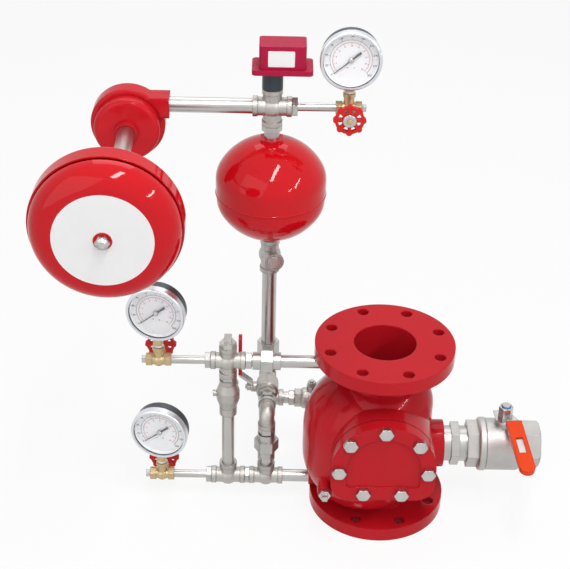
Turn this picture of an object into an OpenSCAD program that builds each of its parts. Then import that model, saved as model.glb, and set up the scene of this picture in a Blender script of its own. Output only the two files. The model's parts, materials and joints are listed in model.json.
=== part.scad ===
// Wet sprinkler alarm valve of four inch size with its trim
// Origin at the centre of the inlet flange face, +Z up the waterway, the hatch looks along -Y

/* [Main valve] */
// Outer diameter of both flanges
flange_d = 229; // [222:1:240]
// Thickness of a flange
flange_t = 24; // [20:0.5:26]
// Diameter of the flange bolt circle
bolt_circle = 190.5; // [186:0.5:196]
// Number of flange bolts
bolt_count = 8; // [4:4:8]
// Diameter of a flange bolt hole
bolt_hole_d = 19; // [16:0.5:22]
// Diameter of an inlet flange bolt hole
inlet_bolt_hole_d = 18.4; // [16:0.1:22]
// Turn of the inlet flange's bolt holes
inlet_bolt_turn = -0.8; // [-22.5:0.1:22.5]
// Turn of the outlet flange's bolt holes
outlet_bolt_turn = -2.8; // [-22.5:0.1:22.5]
// Diameter of the waterway
bore_d = 102; // [96:1:106]
// Height over both flange faces
face_to_face = 324; // [318:1:340]
// Wall of the flange necks
neck_wall = 11; // [9:0.5:13]
// Outer radius of the central barrel
barrel_r = 86; // [84:1:92]
// Outer radius of the clapper chamber
bulb_r = 108; // [105:1:114]
// Offset of the clapper chamber towards the hinge side
bulb_shift = 21; // [16:1:24]
// Height of the lower round of the clapper chamber
bulb_low_z = 110; // [104:1:118]
// Height of the upper round of the clapper chamber
bulb_high_z = 157; // [152:1:165]
// Wall of the casting
cast_wall = 11; // [9:0.5:12]

/* [Hatch] */
// Width of the hatch cover
hatch_w = 170; // [160:1:174]
// Height of the hatch cover
hatch_h = 148; // [140:1:150]
// Height of the hatch cover's lower edge
hatch_z = 97; // [94:1:102]
// Distance of the cover's face from the waterway axis
hatch_reach = 125; // [120:1:132]
// Thickness of the hatch cover
cover_t = 22; // [16:0.5:26]
// Thickness of the hatch gasket
gasket_t = 2; // [1:0.5:3]
// Width of the hatch sealing land
hatch_land = 34; // [30:1:38]
// Distance of the hatch bolts from the edge
hatch_bolt_inset = 9.8; // [9:0.1:15]
// Diameter of a hatch bolt
hatch_bolt_d = 12; // [10:1:14]

/* [Clapper] */
// Height of the seat face
seat_z = 112; // [110:1:116]
// Thickness of the seat ring
seat_t = 12; // [10:1:14]
// Radial width of the seat ring
seat_w = 17; // [15:1:18]
// Thickness of the clapper plate
clapper_t = 10; // [8:1:12]
// Thickness of the rubber facing
facing_t = 4; // [3:0.5:5]
// Distance of the hinge pin from the waterway axis
hinge_x = 84; // [82:1:86]
// Diameter of the hinge pin
hinge_d = 10; // [8:1:12]

/* [Main drain] */
// Height of the drain axis
drain_z = 120; // [116:1:124]
// Outer diameter of the drain pipe size
drain_d = 60.3; // [57:0.1:61]
// Diameter of the drain outlet's mouth
drain_mouth_d = 58; // [56:0.1:59]
// Distance of the drain boss face from the waterway axis
drain_boss_x = 108; // [105:1:114]
// Visible length of the drain nipple
drain_nipple_l = 40; // [36:1:50]
// Width over the flats of the drain valve ends
drain_flats = 70; // [68:1:74]
// Diameter of the drain valve barrel
drain_barrel_d = 88; // [84:1:92]
// Diameter of the drain ball
drain_ball_d = 66; // [62:1:67]
// Length of the drain valve
drain_valve_l = 123; // [118:1:134]
// Length of the drain lever from the stem
drain_lever_l = 134; // [110:1:160]
// Angle of the drain lever as it stands
drain_lever_turn = 6; // [0:1:12]

/* [Trim pipes] */
// Outer diameter of the trim pipe
pipe_d = 21.3; // [20:0.1:22]
// Outer diameter of the alarm column pipe
column_d = 24.5; // [23.5:0.1:26]
// Outer diameter of the gauge pipe
small_d = 13.7; // [12:0.1:14]
// Wall of the pipes
pipe_wall = 2.6; // [2:0.1:3]
// Depth that a thread is screwed in
grip = 12; // [10:0.5:13]
// Distance from the centre to the end of a trim fitting
reach = 28.5; // [27:0.5:30]
// Distance from the centre to the end of a column fitting
column_reach = 31; // [29:0.5:33]
// Wall of a fitting round its thread
fitting_wall = 4.2; // [3.5:0.1:5]
// Height of the supply line
low_z = 43.5; // [42:0.5:46]
// Height of the system line
high_z = 283; // [280:0.5:286]
// Distance of the bypass column from the waterway axis
bypass_x = 255.5; // [250:0.5:262]
// Distance of the alarm column from the waterway axis
column_x = 190.5; // [188:0.5:193]
// Distance of the alarm column behind the waterway axis
column_y = 138; // [136:0.5:142]
// Height of the test run
test_z = 177; // [174:0.5:182]
// Height of the alarm line
alarm_z = 108; // [106:0.5:110]
// Length of a small ball valve
small_valve_l = 60; // [56:0.5:62]
// Length of a small lever from its stem
small_lever_l = 106; // [90:1:120]

/* [Retard chamber] */
// Radius of the retard chamber
retard_r = 90; // [80:1:95]
// Height of the retard chamber over its domes
retard_h = 176; // [165:1:190]
// Height of the retard chamber's centre
retard_z = 531; // [520:1:545]
// Height of the retard tee
retard_tee_z = 406; // [400:1:410]
// Height of the top cross
cross_z = 676; // [670:1:690]

/* [Pressure switch] */
// Width of the switch cover
switch_w = 73; // [65:1:80]
// Depth of the switch cover
switch_depth = 44; // [40:1:60]
// Height of the switch cover
switch_h = 38; // [34:1:60]
// Sideways offset of the switch from the column
switch_shift = 15; // [5:1:18]

/* [Gauges] */
// Diameter of the gauge bezel
gauge_d = 97; // [90:1:104]
// Depth of the gauge case
gauge_depth = 34; // [30:1:44]
// Height of the front gauges above their line
gauge_rise = 95; // [90:1:105]
// Height of the top gauge above its line
top_gauge_rise = 84; // [80:1:95]
// Turn of the front gauges to the left
gauge_turn = 12; // [0:1:20]
// Distance of the front gauge valves from the waterway axis
gauge_x = 369; // [360:1:380]
// Distance of the top gauge valve from the waterway axis
top_gauge_x = 70; // [60:1:80]
// Diameter of a handwheel
wheel_d = 52; // [48:1:58]

/* [Water motor gong] */
// Distance of the motor axis from the waterway axis
motor_x = 418; // [412:1:425]
// Height of the motor axis below the nozzle
motor_drop = 31; // [28:1:34]
// Diameter of the motor housing
motor_d = 118; // [112:1:126]
// Diameter of the motor cover
motor_cover_d = 104; // [98:1:110]
// Distance of the gong face from the motor's wheel
gong_reach = 378; // [350:1:400]
// Diameter of the gong back plate
gong_d = 220; // [200:1:240]
// Depth of the gong dome
gong_depth = 35; // [26:1:38]
// Outer diameter of the shaft tube
tube_d = 27; // [25:0.5:30]
// Diameter of the drive shaft
shaft_d = 16; // [14:0.5:17]

/* [Hidden] */

// Radial clearance of a threaded or pressed joint
thread_gap = 0.05;
// Radial clearance of a running joint
run_gap = 0.05;
// Clearance between flat faces of pieces that move past each other
face_gap = 0.3;
// Length by which a cut runs past a face
past = 1;

// Castings
neck_r = bore_d / 2 + neck_wall;
barrel_low_round = 30;
barrel_high_round = 60;
barrel_low_z = flange_t + 20;
barrel_high_z = face_to_face - flange_t - 32;
chamber_floor = seat_z - seat_t / 2;
chamber_r = barrel_r - cast_wall;
bulb_inner_r = bulb_r - cast_wall;
cone_z = barrel_high_z - barrel_high_round + 15;
line_boss_d = 30;
low_boss_x = 117;
high_boss_x = 100;
alarm_boss_d = 34;
alarm_boss_y = column_y - reach;
plug_boss_d = 24;
plug_boss = [-93, -105, 92];
plug_bore_d = 13;
body_plug_flats = 18;
line_plug_flats = 24;
tee_plug_flats = 17;
tee_plug_h = 4;

// Hatch
hatch_arch_z = hatch_z + hatch_h - hatch_w / 2;
hatch_corner = 32;
hatch_neck_y = hatch_reach - cover_t - gasket_t;
hatch_bolt_r = hatch_w / 2 - hatch_bolt_inset;
hatch_bolt_spread = 47.5;
hatch_bolt_side = [hatch_w / 2 - 13, hatch_arch_z - 5];
hatch_bolt_low = [31, hatch_z + 14.5];
hatch_bolt_flats = 21;
hatch_bolt_head = 8;
hatch_bolt_depth = 12;
hatch_inner_y = hatch_neck_y - hatch_bolt_depth - 4;
chamfer_angle = 30;
hatch_panel_inset = 25;
hatch_panel_depth = 3;
hatch_bolt_places = concat(
  [for (a = [-hatch_bolt_spread, 0, hatch_bolt_spread])
    [hatch_bolt_r * sin(a), hatch_arch_z + hatch_bolt_r * cos(a)]],
  [for (s = [-1, 1], p = [hatch_bolt_side, hatch_bolt_low]) [s * p[0], p[1]]]);

// Clapper
seat_r = bore_d / 2 + seat_w;
clapper_r = seat_r - 2;
facing_z = seat_z + face_gap;
clapper_z = facing_z + facing_t;
hinge_z = clapper_z + clapper_t / 2 + 1;
hinge_barrel_d = hinge_d + 12;
clapper_arm_y = 18;
clapper_arm_w = 12;
lug_y = clapper_arm_y + clapper_arm_w / 2 + 6 + face_gap;
lug_w = 12;
hub_r = 12;
clapper_boss_inset = 14;
clapper_boss_h = 9;
clapper_nut_flats = 26;
clapper_nut_h = 16;
groove_w = 4;

// Main drain
drain_wall = 5;
drain_bore_d = 48;
drain_grip = 20;
drain_end_x = drain_boss_x + drain_nipple_l;
drain_ring_x = drain_end_x + 19;
drain_ring_l = 12;
drain_ball_at = 62;
drain_ball_x = drain_end_x + drain_ball_at;
drain_out_x = drain_end_x + drain_valve_l;
drain_hex_l = 31;
drain_seat_off = sqrt(pow(drain_ball_d / 2, 2) - pow(drain_bore_d / 2, 2)) + 1;
drain_spigot_d = drain_ball_d + 2;
drain_stem_d = 14;
drain_boss_top = drain_z + drain_barrel_d / 2 + 7;
drain_lever_z = drain_boss_top + face_gap;
drain_lever_t = 4;
drain_lever_w = 20;
drain_flat_l = 14;
drain_crank = 8;
drain_crank_end = drain_flat_l + 6;
drain_lever_shift = 9;
drain_slope = 9;
drain_nut_z = drain_lever_z + drain_lever_t;
drain_nut_h = 12;
drain_nut_flats = 21;
drain_stem_top = drain_nut_z + 2 * drain_nut_h + 3;
sleeve_w = 26;
sleeve_t = 9;
sleeve_gap = 0.2;
sleeve_start = 1;
sleeve_tip = 6;
sleeve_window_l = 33;
sleeve_window_w = 12;
sleeve_window_at = 56;
drain_eye_d = 34;
drain_tab_w = 10;
drain_tab_l = 22;

// Turns of a fitting's arms
right = [0, 90, 0];
left = [0, -90, 0];
back = [-90, 0, 0];
front = [90, 0, 0];
up = [0, 0, 0];
down = [180, 0, 0];

// Trim fittings
collar_w = 8;
nipple_flats = 25;
elbow_bend = 16;
arm_step = 3;
bend_step = 0.8;
seat_gap = 0.3;
test_front_hex = 16;
test_valve_y = reach + test_front_hex + small_valve_l / 2;
alarm_first_hex = 20;
alarm_valve_x = -column_x + reach + alarm_first_hex + small_valve_l / 2;
alarm_last_hex = 11;
alarm_elbow_x = alarm_valve_x + small_valve_l / 2 + alarm_last_hex + reach;
bush_hex = 9;
bush_flats = 25;
column_bush_h = 25;
column_bush_z = test_z + reach;

// Unions
union_l = 46;
union_nut_l = 20;
union_nut_flats = 36;
union_d = pipe_d + 2 * fitting_wall;
union_split = union_l / 2;
high_union_x = -bypass_x + reach + 12;
low_union_z = low_z + reach + 18;

// Check valve
check_nipple = 8;
check_l = 70;
check_z = high_z - reach - check_nipple - check_l;
check_d = 38.4;
check_collar_d = 29;
check_collar_h = 14;
check_wide_low = 31;
check_wide_high = 47;
check_top = 63;
check_seat = 27;
check_roof = 52;
check_chamber_d = 30;
check_disc_d = 25;
check_disc_t = 4;
check_pin_y = 19;
check_pin_d = 4;
check_pin_at = check_seat + 7;
check_bonnet_d = 30;
check_bonnet_y = 34;
check_pocket_d = 22;
check_plug_z = 40;
check_cap_flats = 28;
check_cap_h = 8;

// Small ball valves
small_flats = 28;
small_hex_l = 13;
small_body_d = 38;
small_ball_d = 24;
small_ball_bore = 14;
small_stem_d = 8;
small_stem_boss = 25;
small_lever_t = 3;
small_lever_w = 14;
small_lever_x = small_stem_boss + face_gap;
small_crank = 20;
small_crank_start = 9;
small_crank_end = 26;
small_nut_h = 7;
small_nut_flats = 13;
small_sleeve_w = 18;
small_sleeve_t = 6;

// Retard chamber
retard_wall = 2.5;
retard_straight = 17;
retard_knuckle = retard_r / 2;
retard_seam = -6;
retard_lap = 1.2;
retard_bead = 1.6;
retard_rise = retard_h / 2 - retard_straight;
retard_flats = 36;
retard_boss_h = 10;
retard_boss_sunk = 7;
retard_boss_low = 0;
retard_tee_turn = 15;

// Pressure switch
switch_collar_d = 33;
switch_collar_h = 32;
switch_collar_z = cross_z + column_reach;
switch_base_z = switch_collar_z + switch_collar_h;
switch_base_t = 8;
switch_flange = 11;
switch_flange_y = 5;
switch_wall = 3;
switch_round = 5;
plunger_d = 10;
plunger_l = 34;
plunger_stroke = 2.5;

// Gauges
gauge_half = 20.5;
gauge_flats = 20;
gauge_hex_l = 10;
gauge_body_d = 18;
gauge_top = 26;
gauge_top_d = 19;
gauge_stem_d = 13;
gauge_stem_flats = 14;
gauge_plug_flats = 9;
gauge_plug_l = 7;
gauge_bonnet = 27;
gauge_bonnet_d = 16;
spindle_d = 8;
spindle_tip = 8;
spindle_end_d = 6;
wheel_at = 45;
wheel_t = 7;
wheel_hub_d = 14;
wheel_hub_t = 11;
spindle_travel = 5;
case_d = gauge_d - 5;
case_wall = 2;
bezel_w = 5;
dial_t = 1;
lens_t = 2;
lens_gap = 6;
case_front = 4;
bezel_start = -4;
gauge_forward = 7;
pointer_t = 0.8;
pointer_z = 2.6;
pointer_l = 34.4;
pointer_tail = 20;
pointer_w = 2;
pointer_shaft_d = 3;
pointer_zero = 131;
dial_d = case_d - 2 * case_wall - 0.4;

// Water motor gong
motor_z = cross_z - motor_drop;
motor_back = -22;
motor_split = 13;
motor_front = 38;
motor_boss_d = 37;
motor_boss_h = 8;
motor_round = 8;
motor_chamber_d = 92;
motor_chamber_z = 14;
runner_d = 84;
runner_t = 20;
bucket_count = 16;
bucket_depth = 9;
nozzle_end = -352;
nozzle_w = 34;
nozzle_h = 33;
nozzle_grip = 16;
jet_d = 8;
motor_drain_d = 40;
motor_drain_bore = 26.7;
motor_drain_l = 26;
stud_d = 8;
shaft_bore = stud_d + 0.6;
gong_face = gong_reach;
gong_wall = 3;
gong_gap = 3;
dome_d = gong_d - 6;
dome_back = gong_face - gong_depth;
plate_rim = 33;
plate_front = dome_back - gong_gap;
plate_back = plate_front - plate_rim;
plate_t = 3;
plate_hub_d = 50;
plate_hub_h = 16;
striker_z = dome_back + 3;
striker_r = dome_d / 2 - 16;
hammer_d = 14;
stud_collar_d = 18;
stud_nut_flats = 19;
stud_nut_h = 10;
tube_start = motor_front - 4;
tube_end = plate_back - plate_hub_h + 6;

// Turns a piece from +Z towards another axis
module to_right() rotate([0, 90, 0]) children();
module to_left() rotate([0, -90, 0]) children();
module to_back() rotate([-90, 0, 0]) children();
module to_front() rotate([90, 0, 0]) children();
module to_down() rotate([180, 0, 0]) children();

// Round rod between two heights
module rod(d, z0, z1) {
  translate([0, 0, z0])
    cylinder(h = z1 - z0, d = d, $fn = 64);
}

// Hexagon bar between two heights, measured over its flats
module hex(flats, z0, z1) {
  translate([0, 0, z0])
    cylinder(h = z1 - z0, d = flats / cos(30), $fn = 6);
}

// Square bar between two heights, measured over its flats
module square_bar(flats, z0, z1) {
  translate([-flats / 2, -flats / 2, z0])
    cube([flats, flats, z1 - z0]);
}

// Solid turned from the profile to the right of the axis
module lathe() {
  rotate_extrude($fn = 96)
    children();
}

// Rounded half section of a barrel
module barrel_section(r, z0, z1, low_round, high_round) {
  translate([0, z0 + low_round])
    square([r, z1 - high_round - z0 - low_round]);
  translate([0, z0])
    square([r - low_round, z1 - z0 - high_round]);
  translate([0, z0 + low_round])
    square([r - high_round, z1 - z0 - low_round]);
  intersection() {
    translate([r - low_round, z0 + low_round])
      circle(low_round, $fn = 96);
    translate([0, z0])
      square([r, low_round]);
  }
  intersection() {
    translate([r - high_round, z1 - high_round])
      circle(high_round, $fn = 96);
    translate([0, z1 - high_round])
      square([r, high_round]);
  }
}

// Outline of the hatch, arched above and flat below, set in from its edge
module hatch_outline(inset) {
  half = hatch_w / 2 - inset;
  corner = max(hatch_corner - inset, 4);
  low = hatch_z + inset;
  intersection() {
    translate([0, hatch_arch_z])
      circle(half, $fn = 96);
    translate([-half, hatch_arch_z])
      square([2 * half, half]);
  }
  translate([-half, low + corner])
    square([2 * half, hatch_arch_z - low - corner]);
  translate([-half + corner, low])
    square([2 * (half - corner), corner]);
  for (s = [-1, 1]) {
    intersection() {
      translate([s * (half - corner), low + corner])
        circle(corner, $fn = 64);
      translate([s > 0 ? 0 : -half, low])
        square([half, corner]);
    }
  }
}

// Plate with the hatch outline between two distances in front of the waterway axis
module hatch_plate(inset, y0, y1) {
  translate([0, -y0, 0])
    to_front() linear_extrude(y1 - y0)
      hatch_outline(inset);
}

// Copies of a piece at the flange bolts
module at_flange_bolts() {
  for (i = [0:bolt_count - 1]) {
    rotate((i + 0.5) * 360 / bolt_count)
      translate([bolt_circle / 2, 0, 0])
        children();
  }
}

// Copies of a piece at the hatch bolts
module at_hatch_bolts(y) {
  for (p = hatch_bolt_places) {
    translate([p[0], -y, p[1]])
      to_front() children();
  }
}

// Outer shape of the valve casting
module body_shape() {
  lathe() {
    barrel_section(barrel_r, barrel_low_z, barrel_high_z, barrel_low_round, barrel_high_round);
    square([neck_r, face_to_face]);
    square([flange_d / 2, flange_t]);
    translate([0, face_to_face - flange_t])
      square([flange_d / 2, flange_t]);
  }
  translate([-bulb_shift, 0, 0]) {
    lathe() {
      intersection() {
        union() {
          translate([0, bulb_high_z])
            circle(bulb_r, $fn = 96);
          translate([0, bulb_low_z])
            circle(bulb_r, $fn = 96);
          translate([0, bulb_low_z])
            square([bulb_r, bulb_high_z - bulb_low_z]);
        }
        translate([0, flange_t / 2])
          square([2 * bulb_r, face_to_face]);
      }
    }
  }
  hatch_plate(0, 0, hatch_neck_y);
  translate([0, 0, drain_z])
    to_right() rod(drain_d + 20, 0, drain_boss_x);
  translate([0, 0, low_z])
    to_left() rod(line_boss_d, 0, low_boss_x);
  translate([0, 0, high_z])
    to_left() rod(line_boss_d, 0, high_boss_x);
  translate([alarm_elbow_x, 0, alarm_z])
    to_back() rod(alarm_boss_d, 0, alarm_boss_y);
  translate([plug_boss[0], 0, plug_boss[2]])
    to_front() rod(plug_boss_d, 0, -plug_boss[1]);
}

// Hollow of the valve casting: waterway, seat pocket, clapper chamber and hatch opening
module body_hollow() {
  rod(bore_d, -past, seat_z - seat_t + past);
  rod(2 * (seat_r + thread_gap), seat_z - seat_t, chamber_floor + past);
  rod(2 * chamber_r, chamber_floor, cone_z);
  translate([0, 0, cone_z])
    cylinder(h = chamber_r - bore_d / 2, r1 = chamber_r, r2 = bore_d / 2, $fn = 96);
  rod(bore_d, cone_z, face_to_face + past);
  intersection() {
    translate([-bulb_shift, 0, 0])
      lathe() {
        intersection() {
          union() {
            translate([0, bulb_high_z])
              circle(bulb_inner_r, $fn = 96);
            translate([0, chamber_floor])
              square([bulb_inner_r, bulb_high_z - chamber_floor]);
          }
          translate([0, chamber_floor])
            square([2 * bulb_inner_r, face_to_face - chamber_floor]);
        }
      }
    translate([-2 * bulb_r, -hatch_inner_y, 0])
      cube([4 * bulb_r, 4 * bulb_r, face_to_face]);
  }
  hatch_plate(hatch_land, chamber_r / 2, hatch_neck_y + past);
  hatch_plate(-past, hatch_neck_y, hatch_reach);
}

// Ports, sockets and bolt holes of the valve casting
module body_ports() {
  rotate(inlet_bolt_turn)
    at_flange_bolts()
      rod(inlet_bolt_hole_d, -past, flange_t + past);
  rotate(outlet_bolt_turn)
    at_flange_bolts()
      rod(bolt_hole_d, face_to_face - flange_t - past, face_to_face + past);
  at_hatch_bolts(hatch_neck_y - hatch_bolt_depth)
    rod(hatch_bolt_d + 2 * thread_gap, 0, hatch_bolt_depth + past);
  translate([0, 0, drain_z])
    to_right() {
      rod(drain_d + 2 * thread_gap, drain_boss_x - drain_grip, drain_boss_x + past);
      rod(drain_bore_d - 8, chamber_r - cast_wall, drain_boss_x);
    }
  translate([0, 0, low_z])
    to_left() line_socket(low_boss_x);
  translate([0, 0, high_z])
    to_left() line_socket(high_boss_x);
  translate([alarm_elbow_x, 0, alarm_z])
    to_back() {
      rod(pipe_d + 2 * thread_gap, alarm_boss_y - grip, alarm_boss_y + past);
      translate([0, alarm_z - chamber_floor + seat_t / 4, 0])
        rod(seat_t / 3, bore_d / 4, alarm_boss_y - grip + past);
    }
  translate([plug_boss[0], 0, plug_boss[2]])
    to_front() rod(plug_bore_d + 2 * thread_gap, -plug_boss[1] - grip, -plug_boss[1] + past);
}

// Threaded socket of a trim line in the casting, with its port to the waterway
module line_socket(face) {
  rod(pipe_d + 2 * thread_gap, face - grip, face + past);
  rod(pipe_d - 2 * pipe_wall, bore_d / 2 - past, face);
}

module valve_body() {
  color("firebrick") difference() {
    body_shape();
    body_hollow();
    body_ports();
  }
}

// Seat ring with alarm groove and the lugs that carry the hinge pin
module seat_ring() {
  groove_r = bore_d / 2 + seat_w / 2;
  groove_depth = seat_t * 3 / 4;
  groove_y = sqrt(groove_r * groove_r - alarm_elbow_x * alarm_elbow_x);
  color("darkgoldenrod") difference() {
    union() {
      rod(2 * seat_r, seat_z - seat_t, seat_z);
      for (s = [-1, 1]) {
        translate([0, s * lug_y - lug_w / 2, 0]) {
          translate([-hinge_x, 0, hinge_z])
            to_back() rod(hinge_barrel_d, 0, lug_w);
          translate([-hinge_x - hinge_barrel_d / 2, 0, chamber_floor + face_gap])
            cube([hinge_barrel_d, lug_w, hinge_z - chamber_floor]);
          translate([-hinge_x, 0, chamber_floor + face_gap])
            cube([hinge_x - seat_r + seat_w / 2, lug_w, seat_z - chamber_floor - 2 * face_gap]);
        }
      }
    }
    rod(bore_d, seat_z - seat_t - past, seat_z + past);
    difference() {
      rod(2 * groove_r + groove_w, seat_z - groove_depth, seat_z + past);
      rod(2 * groove_r - groove_w, 0, seat_z + 2 * past);
    }
    translate([alarm_elbow_x, 0, seat_z - seat_t * 3 / 4])
      to_back() rod(seat_t / 4, groove_y, seat_r + past);
    translate([-hinge_x, 0, hinge_z])
      to_back() rod(hinge_d + 2 * thread_gap, -bore_d, bore_d);
  }
}

module clapper() {
  color("saddlebrown") difference() {
    union() {
      rod(2 * clapper_r, clapper_z, clapper_z + clapper_t);
      rod(2 * hub_r, facing_z, clapper_z + past);
      translate([0, 0, clapper_z + clapper_t - 1])
        cylinder(h = clapper_boss_h, r1 = clapper_r - clapper_boss_inset, r2 = hub_r + 6, $fn = 96);
      hex(clapper_nut_flats, clapper_z + clapper_t, clapper_z + clapper_t + clapper_nut_h);
      for (s = [-1, 1]) {
        translate([0, s * clapper_arm_y - clapper_arm_w / 2, 0]) {
          translate([-hinge_x, 0, clapper_z])
            cube([hinge_x, clapper_arm_w, clapper_t + 6]);
          translate([-hinge_x, 0, hinge_z])
            to_back() rod(hinge_barrel_d, 0, clapper_arm_w);
        }
      }
    }
    translate([-hinge_x, 0, hinge_z])
      to_back() rod(hinge_d + 2 * run_gap, -bore_d, bore_d);
  }
}

module clapper_facing() {
  color("dimgray") difference() {
    rod(2 * clapper_r - 2, facing_z, clapper_z);
    rod(2 * (hub_r + thread_gap), facing_z - past, clapper_z + past);
  }
}

module hinge_pin() {
  color("silver") translate([-hinge_x, 0, hinge_z])
    to_back() rod(hinge_d, -lug_y - lug_w / 2 - 2, lug_y + lug_w / 2 + 2);
}

module hatch_cover() {
  color("firebrick") difference() {
    hatch_plate(0, hatch_neck_y + gasket_t, hatch_reach);
    hatch_plate(hatch_panel_inset, hatch_reach - hatch_panel_depth, hatch_reach + past);
    at_hatch_bolts(hatch_neck_y)
      rod(hatch_bolt_d + 1, 0, hatch_reach - hatch_neck_y + past);
  }
}

module hatch_gasket() {
  color("dimgray") difference() {
    hatch_plate(1, hatch_neck_y, hatch_neck_y + gasket_t);
    hatch_plate(hatch_land, hatch_neck_y - past, hatch_neck_y + gasket_t + past);
    at_hatch_bolts(hatch_neck_y - past)
      rod(hatch_bolt_d + 1, 0, gasket_t + 2 * past);
  }
}

// Hexagon head or nut with its upper corners chamfered
module bolt_head(flats, height) {
  top_d = 0.95 * flats;
  intersection() {
    hex(flats, 0, height);
    cylinder(h = height, d1 = top_d + 2 * height / tan(chamfer_angle), d2 = top_d, $fn = 64);
  }
}

module hatch_bolts() {
  shank = cover_t + gasket_t + hatch_bolt_depth - 2;
  color("silver") at_hatch_bolts(hatch_reach) {
    rod(hatch_bolt_d, -shank, 0.5);
    bolt_head(hatch_bolt_flats, hatch_bolt_head);
  }
}

// Screwed plug with a hexagon and a square head, its thread below zero
module plug(d, flats) {
  rod(d, -grip + seat_gap, 0.5);
  hex(flats, 0, flats / 3);
  square_bar(flats / 2, 0, flats / 3 + flats / 2);
}

module pipe_plugs() {
  color("lightgray") {
    translate(plug_boss)
      to_front() plug(plug_bore_d, body_plug_flats);
    translate([-bypass_x, 0, high_z + reach])
      plug(pipe_d, line_plug_flats);
    translate([-column_x, column_y, retard_tee_z])
      rotate(retard_tee_turn)
        translate([0, -column_reach, 0])
          to_front() {
            rod(column_d, -grip + seat_gap, 0.5);
            hex(tee_plug_flats, 0, tee_plug_h);
          }
    translate([-bypass_x, check_bonnet_y, check_z + check_pin_at])
      to_back() {
        rod(check_pocket_d, -check_cap_h, 0.5);
        hex(check_cap_flats, 0, check_cap_h);
      }
  }
}

module drain_nipple() {
  color("gainsboro") translate([0, 0, drain_z])
    to_right() difference() {
      union() {
        rod(drain_d, drain_boss_x - drain_grip + seat_gap, drain_end_x + drain_grip - seat_gap - 4);
        rotate(30)
          hex(drain_d + 4, drain_boss_x + 13, drain_boss_x + 27);
      }
      rod(drain_bore_d, 0, drain_out_x);
    }
}

// Barrel of the drain valve with its rounded ring and the hexagon of the outlet
module drain_valve_body() {
  color("gainsboro") difference() {
    union() {
      translate([0, 0, drain_z])
        to_right() {
          lathe() {
            translate([0, drain_ring_x])
              barrel_section(drain_barrel_d / 2 + 1.5, 0, drain_ring_l, 5, 1);
            translate([0, drain_ring_x + 4])
              square([drain_barrel_d / 2 - 2.5, drain_ring_l]);
            translate([0, drain_ring_x + drain_ring_l])
              barrel_section(drain_barrel_d / 2, 0, drain_out_x - drain_hex_l - drain_ring_x
                - drain_ring_l + 2, 2, 12);
          }
          rotate(30)
            intersection() {
              hex(drain_flats, drain_ball_x, drain_out_x);
              translate([0, 0, drain_out_x])
                mirror([0, 0, 1])
                  cylinder(h = drain_hex_l * 2, d1 = drain_flats + 4,
                    d2 = drain_flats + 4 * drain_hex_l, $fn = 96);
            }
        }
      translate([drain_ball_x, 0, 0])
        rod(drain_stem_d + 16, drain_z, drain_boss_top);
    }
    translate([0, 0, drain_z])
      to_right() {
        rod(drain_spigot_d + 2 * thread_gap, drain_ring_x - past, drain_ball_x - drain_seat_off);
        rod(drain_ball_d + 1, drain_ball_x - drain_seat_off - past, drain_ball_x + drain_seat_off);
        rod(drain_bore_d, drain_ball_x, drain_out_x);
        rod(drain_mouth_d, drain_out_x - drain_grip, drain_out_x + past);
      }
    translate([drain_ball_x, 0, 0])
      rod(drain_stem_d + 2 * run_gap, drain_z, drain_boss_top + past);
  }
}

// Screwed inlet end of the drain valve
module drain_valve_end() {
  color("gainsboro") translate([0, 0, drain_z])
    to_right() difference() {
      union() {
        rotate(30)
          hex(drain_flats, drain_end_x, drain_ring_x);
        rod(drain_spigot_d, drain_ring_x - past, drain_ball_x - drain_seat_off - face_gap);
      }
      rod(drain_d + 2 * thread_gap, drain_end_x - past, drain_end_x + drain_grip - 4);
      rod(drain_bore_d, drain_end_x, drain_ball_x);
    }
}

// Ball of the drain valve with its stem, its way across the pipe while the valve is shut
module drain_ball() {
  color("silver") translate([drain_ball_x, 0, 0])
    rotate(drain_lever_turn)
      difference() {
        union() {
          translate([0, 0, drain_z])
            sphere(d = drain_ball_d, $fn = 96);
          rod(drain_stem_d, drain_z, drain_stem_top);
        }
        translate([0, 0, drain_z])
          to_back() rod(drain_bore_d - 8, -drain_ball_d, drain_ball_d);
      }
}

// Strap of the drain lever lying along -Y: flat round the stem, cranked up and sloping down again
module drain_strap() {
  strap_end = drain_lever_l - sleeve_tip;
  low = drain_crank - (strap_end - drain_crank_end) * tan(drain_slope);
  difference() {
    union() {
      rod(drain_eye_d, 0, drain_lever_t);
      translate([-drain_lever_w / 2 - drain_tab_w / 2, 0, 0])
        cube([drain_tab_w, drain_tab_l, drain_lever_t]);
      translate([drain_lever_shift - drain_lever_w / 2, 0, 0])
        rotate([90, 0, 90])
          linear_extrude(drain_lever_w)
            polygon([[0, 0], [0, drain_lever_t], [-drain_flat_l, drain_lever_t],
              [-drain_crank_end, drain_crank + drain_lever_t], [-strap_end, low + drain_lever_t],
              [-strap_end, low], [-drain_crank_end, drain_crank], [-drain_flat_l, 0]]);
    }
    rod(drain_stem_d + 2 * thread_gap, -past, drain_lever_t + past);
  }
}

// Frame of the sloping length of the drain lever
module drain_slope() {
  translate([drain_lever_shift, -drain_crank_end, drain_crank])
    rotate([drain_slope, 0, 0])
      children();
}

// Frame of the drain lever as it stands
module drain_lever_frame() {
  translate([drain_ball_x, 0, drain_lever_z])
    rotate(drain_lever_turn)
      children();
}

module drain_lever() {
  color("gainsboro") drain_lever_frame() drain_strap();
}

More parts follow.
